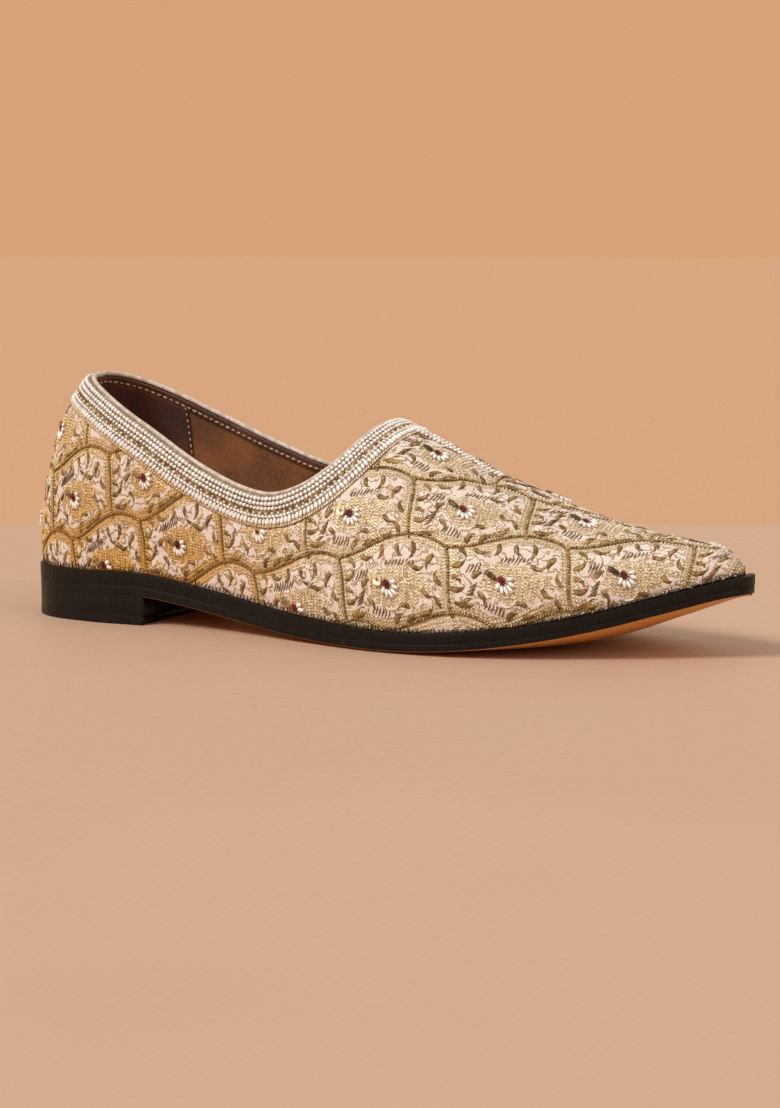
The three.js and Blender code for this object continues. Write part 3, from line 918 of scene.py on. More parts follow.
def cloth_side(side):
    """Sections, shares, flat places and edge room on one side."""
    s = even_stations(CLOTH_RIBS, side)
    top = collar.share(s, side)
    t = top[:, None] * np.linspace(0, 1, CLOTH_ROWS)[None, :]
    s = np.repeat(s[:, None], CLOTH_ROWS, 1)
    field = flat_map[side]
    under_band = np.repeat(band_foot.share(s[:, 0], side)[:, None], CLOTH_ROWS, 1)
    free_top = field.read(field.climb, s, under_band)
    climbed = field.read(field.climb, s, t)
    past_throat = s >= band_foot.end
    room_up = np.where(past_throat, 30.0, free_top - climbed)
    seam = field.read(field.along, s, t) - field.read(field.along, 0 * s, t)
    return s, t, np.minimum(np.minimum(room_up, climbed), seam + 4)


def build_cloth():
    grids, flats, rooms = [], [], []
    for side in (OUTER, INNER):
        s, t, room = cloth_side(side)
        flat = flat_map[side].flat(s, t).reshape(-1, 2)
        wall = nearest_on_walls(flat)
        lift = PUFF * smoothstep(wall, 0.2, 5.5) - 0.15 + crease_relief(flat)
        lift *= smoothstep(room.ravel(), 0.0, 3.0)
        lift = lift.reshape(CLOTH_RIBS, CLOTH_ROWS, 1)
        grids.append(last_point(s, side, t) + lift * last_normal(s, side, t))
        flats.append(flat)
        rooms.append(room.ravel())
    flat = np.concatenate(flats)
    cloth = both_sides("upper_cloth", grids, merge=0, uv=flat / FLAT_SPAN + 0.5)
    store(cloth.data, "wall", nearest_on_walls(flat))
    store(cloth.data, "room", np.concatenate(rooms))
    store(cloth.data, "cell", np.pad(own_flower(flat), ((0, 0), (0, 1))))
    weld(cloth.data, 0.004)
    return cloth


cloth = build_cloth()
print("upper_cloth", len(cloth.data.polygons), "quads before it gets its thickness")

# %% [markdown]
# ## Sewing by Geometry Nodes
# The embroiderer works on a flat frame, so the sewing tree does too. It repeats one cell's
# stitches over the net while all of it is flat, looks up where each flat point went on the last
# with Sample UV Surface, and stands the stitches on the cloth there. What falls off the cloth,
# or too near its edge, is unpicked as a whole stitch. Placing stitches by hand on the curved
# shoe would take hundreds of fittings, and a texture would leave the shoe smooth.

# %% Tree: repeat over the net and lay on the cloth
NODES = "GeometryNodeTree"


def named(tree, name, kind="FLOAT_VECTOR"):
    """What is stored on the points under a name."""
    return result(tree, "GeometryNodeInputNamedAttribute", {"Name": name}, data_type=kind)


def random_between(tree, low, high, seed):
    """A random number for each bead."""
    node = put(tree, "FunctionNodeRandomValue", {"Min": low, "Max": high, "Seed": seed},
               data_type="FLOAT")
    return next(o for o in node.outputs if o.enabled)


def hand_out(tree, made, given, gives):
    """End a tree with plain geometry that wears its finish."""
    made = result(tree, "GeometryNodeRealizeInstances", {0: made})
    made = put(tree, "GeometryNodeSetMaterial", {"Geometry": made, "Material": given["Finish"]})
    tree.links.new(made.outputs[0], gives[0])


def sampled(tree, source, kind, value, place):
    """Read a field of the cloth at a flat place."""
    flat_map_name = named(tree, "UVMap")
    return put(tree, "GeometryNodeSampleUVSurface",
               {"Mesh": source, "Value": value, "UV Map": flat_map_name, "Sample UV": place},
               data_type=kind).outputs


def build_sewing():
    tree, given, gives = new_group(
        "sew_over_cloth", NODES,
        {"Motif": GEOMETRY, "Cloth": OBJECT, "Finish": MATERIAL,
         "Step A": VECTOR, "Step B": VECTOR, "First Flower": VECTOR,
         "First Column": 0, "Columns": 1, "First Row": 0, "Rows": 1,
         "Flat Span": 0.44, "Edge Room": 0.0, "Whole Stitches": True,
         "Looseness": 0.0, "Seed": 1},
        {"Sewn": GEOMETRY})
    columns = maths(tree, "SUBTRACT", given["Columns"], 1.0)
    rows = maths(tree, "SUBTRACT", given["Rows"], 1.0)
    net = result(tree, "GeometryNodeMeshGrid", {"Size X": columns, "Size Y": rows,
                                                "Vertices X": given["Columns"],
                                                "Vertices Y": given["Rows"]})
    spot = parts_of(tree, result(tree, "GeometryNodeInputPosition"))
    i = maths(tree, "ADD", spot[0], maths(tree, "MULTIPLY_ADD", columns, 0.5, given["First Column"]))
    j = maths(tree, "ADD", spot[1], maths(tree, "MULTIPLY_ADD", rows, 0.5, given["First Row"]))
    net_place = vectors(tree, "ADD", given["First Flower"],
                        vectors(tree, "ADD", vectors(tree, "SCALE", given["Step A"], i),
                                vectors(tree, "SCALE", given["Step B"], j)))
    net = result(tree, "GeometryNodeSetPosition", {"Geometry": net, "Position": net_place})
    turn = result(tree, "FunctionNodeRandomValue",
                  {"Min": (0, 0, -0.12), "Max": (0, 0, 0.12), "Seed": given["Seed"]},
                  data_type="FLOAT_VECTOR")
    turned = vectors(tree, "SCALE", turn, given["Looseness"])
    cells = result(tree, "GeometryNodeInstanceOnPoints",
                   {"Points": net, "Instance": given["Motif"], "Rotation": turned})
    flat = result(tree, "GeometryNodeRealizeInstances", {0: cells})

    place = result(tree, "GeometryNodeInputPosition")
    share = result(tree, "ShaderNodeVectorMath",
                   {0: place, 1: result(tree, "ShaderNodeCombineXYZ", {
                          0: maths(tree, "DIVIDE", 1.0, given["Flat Span"]),
                          1: maths(tree, "DIVIDE", 1.0, given["Flat Span"])}),
                    2: (0.5, 0.5, 0.0)}, operation="MULTIPLY_ADD")
    cloth_mesh = put(tree, "GeometryNodeObjectInfo", {"Object": given["Cloth"]},
                     transform_space="ORIGINAL").outputs["Geometry"]
    source_place = result(tree, "GeometryNodeInputPosition")
    source_normal = result(tree, "GeometryNodeInputNormal")
    source_room = named(tree, "room", "FLOAT")
    on_last = sampled(tree, cloth_mesh, "FLOAT_VECTOR", source_place, share)
    outwards = sampled(tree, cloth_mesh, "FLOAT_VECTOR", source_normal, share)
    room = sampled(tree, cloth_mesh, "FLOAT", source_room, share)
    near = result(tree, "FunctionNodeCompare", {0: room[0], 1: given["Edge Room"]},
                  data_type="FLOAT", operation="LESS_THAN")
    missing = result(tree, "FunctionNodeBooleanMath", {0: on_last[1]}, operation="NOT")
    bad = result(tree, "FunctionNodeBooleanMath", {0: near, 1: missing}, operation="OR")
    island = result(tree, "GeometryNodeInputMeshIsland")
    lost = put(tree, "GeometryNodeAccumulateField", {"Value": bad, "Group ID": island},
               data_type="FLOAT", domain="POINT").outputs["Total"]
    whole = result(tree, "FunctionNodeCompare", {0: lost, 1: 0.5}, data_type="FLOAT",
                   operation="GREATER_THAN")
    unpick = result(tree, "GeometryNodeSwitch",
                    {"Switch": given["Whole Stitches"], "False": bad, "True": whole},
                    input_type="BOOLEAN")
    kept = result(tree, "GeometryNodeDeleteGeometry", {"Geometry": flat, "Selection": unpick},
                  domain="POINT", mode="ALL")
    kept = result(tree, "GeometryNodeStoreNamedAttribute",
                  {"Geometry": kept, "Name": "out", "Value": outwards[0]},
                  data_type="FLOAT_VECTOR", domain="POINT")
    height = parts_of(tree, place)[2]
    stood = vectors(tree, "ADD", on_last[0], vectors(tree, "SCALE", outwards[0], height))
    sewn = result(tree, "GeometryNodeSetPosition", {"Geometry": kept, "Position": stood})
    hand_out(tree, sewn, given, gives)
    return tree


# %% Tree: string beads or stitches along a line
def build_stringing():
    tree, given, gives = new_group(
        "string_along", NODES,
        {"Line": GEOMETRY, "Bead": OBJECT, "Finish": MATERIAL,
         "Pitch": 0.002, "Turn": 0.0, "Size": VECTOR,
         "Unevenness": 0.1, "Wander": 0.0, "Seed": 1},
        {"Strung": GEOMETRY})
    curve = result(tree, "GeometryNodeMeshToCurve", {"Mesh": given["Line"]})
    even = result(tree, "GeometryNodeResampleCurve", {"Curve": curve, "Length": given["Pitch"]},
                  mode="LENGTH")
    outward = named(tree, "out")
    tangent = result(tree, "GeometryNodeInputTangent")
    facing = result(tree, "FunctionNodeAxesToRotation", {0: outward, 1: tangent},
                    primary_axis="Z", secondary_axis="X")
    wander = random_between(tree, maths(tree, "MULTIPLY", given["Wander"], -1.0), given["Wander"],
                            given["Seed"])
    turn = result(tree, "ShaderNodeCombineXYZ", {2: maths(tree, "ADD", given["Turn"], wander)})
    facing = result(tree, "FunctionNodeRotateRotation", {0: facing, 1: turn},
                    rotation_space="LOCAL")
    low = maths(tree, "SUBTRACT", 1.0, given["Unevenness"])
    high = maths(tree, "ADD", 1.0, given["Unevenness"])
    uneven = random_between(tree, low, high, maths(tree, "ADD", given["Seed"], 7.0))
    size = vectors(tree, "SCALE", given["Size"], uneven)
    bead = put(tree, "GeometryNodeObjectInfo", {"Object": given["Bead"]},
               transform_space="ORIGINAL").outputs["Geometry"]
    strung = result(tree, "GeometryNodeInstanceOnPoints",
                    {"Points": even, "Instance": bead, "Rotation": facing, "Scale": size})
    hand_out(tree, strung, given, gives)
    return tree


SEWING, STRINGING = build_sewing(), build_stringing()


# %% Running a tree and keeping its plain mesh
def run_tree(thing, tree, name, **values):
    """Give an object a tree, set its inputs by their identifiers, and keep the resulting mesh."""
    modifier = thing.modifiers.new(tree.name, "NODES")
    modifier.node_group = tree
    wanted = {key.replace("_", " "): value for key, value in values.items()}
    for item in tree.interface.items_tree:
        if item.in_out == "INPUT" and item.name in wanted:
            modifier[item.identifier] = wanted.pop(item.name)
    assert not wanted, wanted
    bpy.context.view_layer.update()
    graph = bpy.context.evaluated_depsgraph_get()
    mesh = bpy.data.meshes.new_from_object(thing.evaluated_get(graph), depsgraph=graph)
    mesh.name = name
    piece = bpy.data.objects.new(name, mesh)
    bpy.context.scene.collection.objects.link(piece)
    bpy.data.objects.remove(thing)
    return piece


def triangles(piece):
    """How many triangles a mesh has."""
    return sum(len(p.vertices) - 2 for p in piece.data.polygons)


def string(line, name, bead, material, pitch, turn, size, unevenness, wander, seed):
    """Beads or stitches strung along a line, with the pitch in millimetres."""
    return run_tree(line, STRINGING, name, Bead=bead, Finish=finish[material], Pitch=pitch * MM,
                    Turn=turn, Size=size, Unevenness=unevenness, Wander=wander, Seed=seed)


def put_away(thing):
    """A pattern piece, such as the bead that gets repeated, isn't part of the shoe."""
    mesh = thing.data
    bpy.data.objects.remove(thing)
    bpy.data.meshes.remove(mesh)


# %% [markdown]
# ## Stitches and beads, one of each
# Every small thing is made once, low and plain, because it is repeated hundreds of times: a
# rice-shaped stitch of eight faces, a round bead of a few dozen, and thread lengths swept
# along a short bent line. Smooth shading rounds them at the size they are seen.

# %% Small shapes on the flat cloth
def placed(shape, heading, x, y, z=0.0):
    """A small shape turned to its heading and moved to its place."""
    c, s = math.cos(heading), math.sin(heading)
    return [(x + c * u - s * v, y + s * u + c * v, z + w) for u, v, w in shape]


def walked_along(line):
    """How far along a line each of its points is."""
    return np.concatenate([[0], np.cumsum(np.linalg.norm(np.diff(line, axis=0), axis=1))])


class Stitchery:
    """Collects small closed shapes in millimetres, each with a thread map along and around."""

    def __init__(self):
        self.points, self.faces, self.maps = [], [], []

    def add(self, points, faces, maps):
        start = len(self.points)
        self.points.extend(points)
        self.faces.extend([start + k for k in face] for face in faces)
        self.maps.extend(maps)

    def grain(self, x, y, heading, length, width, height, sink=0.2):
        """A rice-shaped stitch lying on the cloth."""
        shape = ((-length / 2, 0, 0), (0, -width / 2, 0), (length / 2, 0, 0), (0, width / 2, 0),
                 (0, 0, height), (0, 0, -sink))
        faces = [(k, (k + 1) % 4, 4) for k in range(4)] + [((k + 1) % 4, k, 5) for k in range(4)]
        self.add(placed(shape, heading, x, y), faces,
                 [(0, 0), (0.5, 0), (1, 0), (0.5, 1), (0.5, 0.5), (0.5, 0)])

    def thread(self, spine, widths, heights, sides=6, sink=0.2, base=0.0):
        """A flattened closed length of thread along a bent line; base lifts it off the cloth."""
        spine = np.asarray(spine, float)
        ahead = np.gradient(spine, axis=0)
        aside = np.stack([-ahead[:, 1], ahead[:, 0]], -1)
        aside /= np.linalg.norm(aside, axis=1, keepdims=True)
        walked = walked_along(spine)
        points, maps = [], []
        for k in range(len(spine)):
            for m in range(sides):
                angle = 2 * math.pi * m / sides
                out = widths[k] / 2 * math.cos(angle)
                up = base + (heights[k] if math.sin(angle) > 0 else sink) * math.sin(angle)
                points.append((*(spine[k] + out * aside[k]), up))
                maps.append((walked[k], m / sides))
        faces = [[k * sides + m, k * sides + (m + 1) % sides, (k + 1) * sides + (m + 1) % sides,
                  (k + 1) * sides + m][::-1] for k in range(len(spine) - 1) for m in range(sides)]
        faces.append(list(range(sides)))
        faces.append([(len(spine) - 1) * sides + m for m in range(sides)][::-1])
        self.add(points, [f[::-1] for f in faces], maps)

    def bead(self, x, y, z, heading, length, width, height, around=8, rings=5):
        """A closed egg-shaped bead."""
        shape = [(-length / 2, 0.0, 0.0)]
        maps = [(0, 0)]
        for r in range(1, rings):
            a = math.pi * r / rings
            for m in range(around):
                b = 2 * math.pi * m / around
                shape.append((-length / 2 * math.cos(a), width / 2 * math.sin(a) * math.cos(b),
                              height / 2 * math.sin(a) * math.sin(b)))
                maps.append((r / rings, m / around))
        shape.append((length / 2, 0.0, 0.0))
        maps.append((1, 0))
        last = len(shape) - 1
        faces = [(0, 1 + (m + 1) % around, 1 + m) for m in range(around)]
        for r in range(rings - 2):
            a, b = 1 + r * around, 1 + (r + 1) * around
            faces += [(a + m, a + (m + 1) % around, b + (m + 1) % around, b + m) for m in range(around)]
        a = 1 + (rings - 2) * around
        faces += [(a + m, a + (m + 1) % around, last) for m in range(around)]
        self.add(placed(shape, heading, x, y, z), faces, maps)

    def turned(self, x, y, z, profile, around=20, tilt=0.0):
        """A closed ring of a profile (radius, height), such as a sequin."""
        points, maps = [], []
        for m in range(around):
            a = 2 * math.pi * m / around
            for k, (radius, height) in enumerate(profile):
                u, v = radius * math.cos(a), radius * math.sin(a)
                points.append((x + u, y + v, z + height + tilt * u))
                maps.append((m / around, k / len(profile)))
        faces = grid_faces(around, len(profile), wrap_rows=True, wrap_columns=True)
        self.add(points, faces, maps)

    def piece(self, name):
        """The flat motif as an object; its faces are turned to point out."""
        made = make_mesh(name, self.points, self.faces, uv=np.array(self.maps, float),
                         merge=0, shift=False)
        face_outwards(made)
        return made


# %% [markdown]
# ## What is sewn in one cell
# Leaves like commas stand round the cell with their hooks inwards, tufts of fern and thin
# curled threads stand between them, and a lobed field of herringbone surrounds the flower.
# They are charted for one cell, because they repeat in every cell. Only the ferns have
# a second chart, for the cells at the heel.

# %% The chart of one cell, as seen with the toe to the right and the sole level
# Leaves: x, y, heading in degrees, length, bend in degrees.
LEAVES = ((9.2, 12.6, -62, 7.6, -85), (2.8, 12.0, -84, 6.0, 75), (-3.4, 11.4, -66, 6.4, -80),
          (-9.6, 9.4, -34, 7.0, 80), (-15.2, 8.4, -18, 6.4, -85), (-15.8, 3.4, 8, 6.0, 75),
          (-15.6, -1.6, 2, 5.6, -85), (-14.6, -5.8, -10, 6.4, 75), (-10.6, -10.8, -10, 9.4, 60),
          (4.8, -11.4, 76, 5.6, -80), (10.8, -11.0, 58, 6.4, -85), (16.6, -9.0, 8, 7.2, 70),
          (20.0, -4.2, 104, 6.2, 80), (19.0, 3.2, 146, 6.4, -85), (15.0, 8.8, -132, 6.8, 80),
          (11.4, 6.2, -36, 6.0, 90), (-5.4, -7.0, -24, 6.0, -90), (16.0, -2.8, -62, 5.2, 80),
          (-9.0, 1.2, 70, 5.0, -100), (7.6, -7.0, 150, 4.8, 90))
# Ferns: x, y, heading of a stroke, heading of the row, strokes, pitch, length.
FRONT_FERNS = ((-10.2, -5.6, 30, 78, 5, 1.3, 4.2), (-1.4, -10.2, 62, -16, 6, 1.3, 3.6),
               (-10.6, 3.2, 62, 10, 4, 1.3, 3.8), (4.0, 8.2, 60, 6, 9, 1.3, 2.6))
HEEL_FERNS = ((-5.4, 7.4, 66, 18, 8, 1.3, 4.4), (7.4, 7.6, -56, -26, 6, 1.3, 4.0),
              (-12.6, -3.0, 28, 84, 4, 1.3, 3.2))
# Scrolls: x, y, heading, length, bend, for thin light threads.
SCROLLS = ((13.4, 2.4, 30, 9.0, 300), (-4.6, 4.0, 120, 12.0, -240), (5.6, -6.8, -20, 11.0, 220),
           (14.4, -6.0, 160, 9.0, -280), (-12.2, 6.2, -60, 8.0, 230), (6.0, 5.4, 160, 14.0, -170),
           (-8.6, -8.0, 60, 9.0, -220), (11.6, 11.0, -30, 7.0, -240), (-15.0, -1.4, 80, 7.0, 240))
FIELD_PLACE, FIELD_HALF = (4.6, -0.8), (12.6, 7.4)
LOBES = ((3, 0.6, 0.15), (5, 2.0, 0.12), (8, 0.3, 0.06))
LEAF_WIDTH, LEAF_HEIGHT = 2.1, 0.55
CELL_LEAN = 0.38  # how far the shoe's level climbs on the flat cloth, for each millimetre along


def leaned(points):
    """From the shoe's level to the flat cloth's."""
    points = np.array(points, float)
    points[..., 1] += CELL_LEAN * points[..., 0]
    return points


def bent_line(x, y, heading, length, bend, steps=8, curl=1.0):
    """A short line through a place, bending more towards its tip."""
    t = np.linspace(0, 1, steps + 1)
    angle = np.radians(heading) + np.radians(bend) * t**(1 + curl)
    move = length / steps * np.stack([np.cos(angle), np.sin(angle)], -1)
    line = np.concatenate([[[0, 0]], np.cumsum(move[1:], 0)])
    return line - line[steps // 2] + (x, y)


def leaf_motif():
    sewn = Stitchery()
    t = np.linspace(0, 1, 9)
    fullness = np.clip(np.sin(np.pi * (0.04 + 0.93 * t)**0.62), 0.05, 1)
    for x, y, heading, length, bend in LEAVES:
        spine = leaned(bent_line(x, y, heading, length, bend))
        sewn.thread(spine, LEAF_WIDTH * fullness, LEAF_HEIGHT * fullness)
    return sewn.piece("leaf_motif")


def fern_motif(ferns):
    sewn = Stitchery()
    t = np.linspace(0, 1, 5)
    for x, y, heading, row, count, pitch, length in ferns:
        across = np.array([math.cos(math.radians(row)), math.sin(math.radians(row))])
        for k in range(count):
            away = (k - (count - 1) / 2) * pitch
            middle = np.array([x, y]) + away * across
            reach = length * (1 - 0.06 * abs(away))
            spine = leaned(bent_line(*middle, heading, reach, 26, steps=4))
            sewn.thread(spine, 0.58 * np.sin(np.pi * (0.1 + 0.8 * t)), 0.34 + 0 * t, sides=5)
    return sewn.piece("fern_motif")


def scroll_motif():
    """Thin light threads curled between the leaves."""
    sewn = Stitchery()
    t = np.linspace(0, 1, 15)
    taper = 0.85 * (1 - 0.45 * t)
    for x, y, heading, length, bend in SCROLLS:
        spine = leaned(bent_line(x, y, heading, length, bend, steps=14, curl=0.3))
        sewn.thread(spine, taper, 0.75 * taper, sides=5)
    return sewn.piece("scroll_motif")


def inside_field(x, y):
    """Whether a place from the field's middle is inside its lobed edge."""
    x, y = x / FIELD_HALF[0], y / FIELD_HALF[1]
    angle = math.atan2(y, x)
    return math.hypot(x, y) < 0.92 + sum(size * math.sin(n * angle + turn) for n, turn, size in LOBES)


def herringbone_motif():
    """Light gold stitches: the field round the flower, and slanted rows beside each wall."""
    sewn = Stitchery()
    pitch_x, pitch_y = 1.5, 1.15
    columns, rows = int(2.4 * FIELD_HALF[0] / pitch_x), int(2.4 * FIELD_HALF[1] / pitch_y)
    for i in range(-columns // 2, columns // 2 + 1):
        slant = 1 if i % 2 else -1
        for j in range(-rows // 2, rows // 2 + 1):
            x, y = i * pitch_x, j * pitch_y + 0.5 * math.sin(i * 0.7)
            bare = math.sin(0.75 * x + 0.4 * y) + math.sin(0.95 * y - 0.5 * x + 1.0) > 1.25
            if inside_field(x, y) and not bare:
                place = leaned((FIELD_PLACE[0] + x, FIELD_PLACE[1] + y))
                sewn.grain(*place, slant * 0.74 + 0.36, 1.9, 0.6, 0.5)
    for wall in walls:
        walked = walked_along(wall)
        for offset, slant in ((1.55, 0.75), (2.75, -0.75), (-1.55, -0.75), (-2.75, 0.75)):
            for d in np.arange(1.2, walked[-1] - 0.9, 1.45):
                place = np.array([np.interp(d, walked, wall[:, k]) for k in (0, 1)])
                ahead = np.array([np.interp(d + 0.3, walked, wall[:, k]) for k in (0, 1)]) - place
                angle = math.atan2(ahead[1], ahead[0])
                x, y = place + offset * np.array([-math.sin(angle), math.cos(angle)])
                sewn.grain(x, y, angle + slant, 1.75, 0.6, 0.48)
    return sewn.piece("herringbone_motif")


def wall_motif():
    """The three walls of one cell as open lines, standing where the cord's middle will be."""
    points, edges = [], []
    for wall in walls:
        start = len(points)
        points.extend((x, y, 0.35) for x, y in wall)
        edges.extend((start + k, start + k + 1) for k in range(len(wall) - 1))
    return make_mesh("wall_motif", points, [], merge=0, shift=False, edges=edges)


# %% Flower, sequin and leaf bead
PETALS = ((34, 3.3), (6, 3.7), (-22, 3.7), (-50, 3.5), (-78, 3.2), (-108, 2.8))


def knot_motif():
    """A tight red knot of small loops."""
    sewn = Stitchery()
    for k in range(7):
        a = 2 * math.pi * k / 7
        sewn.bead(1.05 * math.cos(a), 1.05 * math.sin(a), 0.5, a + 1.1, 1.25, 0.85, 0.9, 6, 4)
    for k in range(3):
        a = 2 * math.pi * k / 3 + 0.4
        sewn.bead(0.42 * math.cos(a), 0.42 * math.sin(a), 0.95, a, 1.1, 0.8, 0.8, 6, 4)
    return sewn.piece("knot_motif")


def petal_motif():
    """Long white beads fanned round the front of the knot."""
    sewn = Stitchery()
    for angle, reach in PETALS:
        a = math.radians(angle)
        sewn.bead(reach * math.cos(a), reach * math.sin(a), 0.7, a, 2.9, 1.5, 1.3, 8, 6)
    return sewn.piece("petal_motif")


def sequin_motif():
    """A cupped sequin held by a stitch."""
    sewn = Stitchery()
    profile = ((0.55, 0.02), (1.2, 0.08), (1.8, 0.26), (2.1, 0.36), (2.0, 0.22), (1.2, -0.02),
               (0.55, -0.1))
    sewn.turned(-3.6, -0.2, 1.0, profile, tilt=0.06)
    return sewn.piece("sequin_motif")


def leaf_bead_motif():
    """A long dark bead beside the knot."""
    sewn = Stitchery()
    sewn.bead(-4.0, -0.2, 0.75, math.radians(172), 4.8, 2.2, 1.2, 8, 8)
    return sewn.piece("leaf_bead_motif")


# %% Sew every motif over the net
uv = np.empty((len(cloth.data.loops), 2), np.float32)
cloth.data.uv_layers["UVMap"].data.foreach_get("uv", uv.ravel())
flat_reach = ((uv - 0.5) * FLAT_SPAN - FIRST_FLOWER) @ NET_SHARES.T
first_cell = np.floor(flat_reach.min(0)).astype(int) - 1
cell_count = np.ceil(flat_reach.max(0)).astype(int) + 2 - first_cell
print("net from", first_cell, "cells", cell_count)


def on_net(values, edge_room, whole=True, first=None, columns=None, loose=0.0):
    """The sewing tree's inputs for the whole net or for some of its columns."""
    start = first_cell[0] if first is None else first
    count = cell_count[0] - (start - first_cell[0]) if columns is None else columns
    values.update(Cloth=cloth, Step_A=(*(STEP_A * MM), 0), Step_B=(*(STEP_B * MM), 0),
                  First_Flower=(*(FIRST_FLOWER * MM), 0), First_Column=int(start),
                  Columns=int(count), First_Row=int(first_cell[1]), Rows=int(cell_count[1]),
                  Flat_Span=FLAT_SPAN * MM, Edge_Room=edge_room, Whole_Stitches=whole,
                  Seed=1, Looseness=loose)
    return values


sewn_pieces = []
HEEL_COLUMNS = (first_cell[0], -first_cell[0])
for name, made, material, edge_room, (first, columns) in (
        ("gold_leaves", leaf_motif(), "leaf_satin", 0.3, (None, None)),
        ("fern_tufts", fern_motif(FRONT_FERNS), "fern_thread", 0.3, (0, None)),
        ("heel_fern_tufts", fern_motif(HEEL_FERNS), "fern_thread", 0.3, HEEL_COLUMNS),
        ("scroll_threads", scroll_motif(), "light_gold_stitch", 0.3, (None, None)),
        ("herringbone_stitches", herringbone_motif(), "light_gold_stitch", 0.2, (None, None)),
        ("flower_knots", knot_motif(), "red_knot", 1.0, (None, None)),
        ("flower_petals", petal_motif(), "white_bead", 0.8, (None, None)),
        ("sequins", sequin_motif(), "sequin_gold", 1.0, (0, 1)),
        ("leaf_beads", leaf_bead_motif(), "dark_leaf_bead", 1.0, (1, None)),
        ("heel_leaf_beads", leaf_bead_motif(), "leaf_satin", 1.0, HEEL_COLUMNS)):
    piece = run_tree(made, SEWING, name, **on_net({"Finish": finish[material]}, edge_room,
                                                  first=first, columns=columns, loose=0.7))
    sewn_pieces.append(piece)
    print(name, triangles(piece), "triangles")


# %% The couched cord: the walls laid on the last, then strung with slanted plies
def unit_bead(name, around, rings):
    """A bead or a turn of a cord, one millimetre each way."""
    shape = Stitchery()
    shape.bead(0, 0, 0, 0, 1.0, 1.0, 1.0, around, rings)
    return shape.piece(name)


one_ply = unit_bead("ply", 6, 5)
laid_walls = run_tree(wall_motif(), SEWING, "laid_walls",
                      **on_net({"Finish": finish["couched_cord"]}, 0.4, whole=False))
cords = string(laid_walls, "couched_cords", one_ply, "couched_cord", 1.05, 0.85, (1.55, 0.7, 1.0),
               0.1, 0.14, seed=3)
sewn_pieces.append(cords)
print("couched_cords", triangles(cords), "triangles")

# %% [markdown]
# ## The brocade's own finish
# Under the embroidery the cloth is an ivory satin: pale leaves swirl round each flower. Gold
# zigzag threads are woven into it between the leaves, round the flower and beside every cord.
# Towards the heel and the sole the gold turns amber. Beside every cord the cloth is darkened
# as a painted shadow of the cord. The masks come from the values stored on the points, so the
# tones follow the net exactly, wherever the cloth bends.

# %% Finish: ivory and gold brocade
IVORY_LEAVES, LEAF_SWIRL, GOLD_BETWEEN = 10, 1.1, 0.19


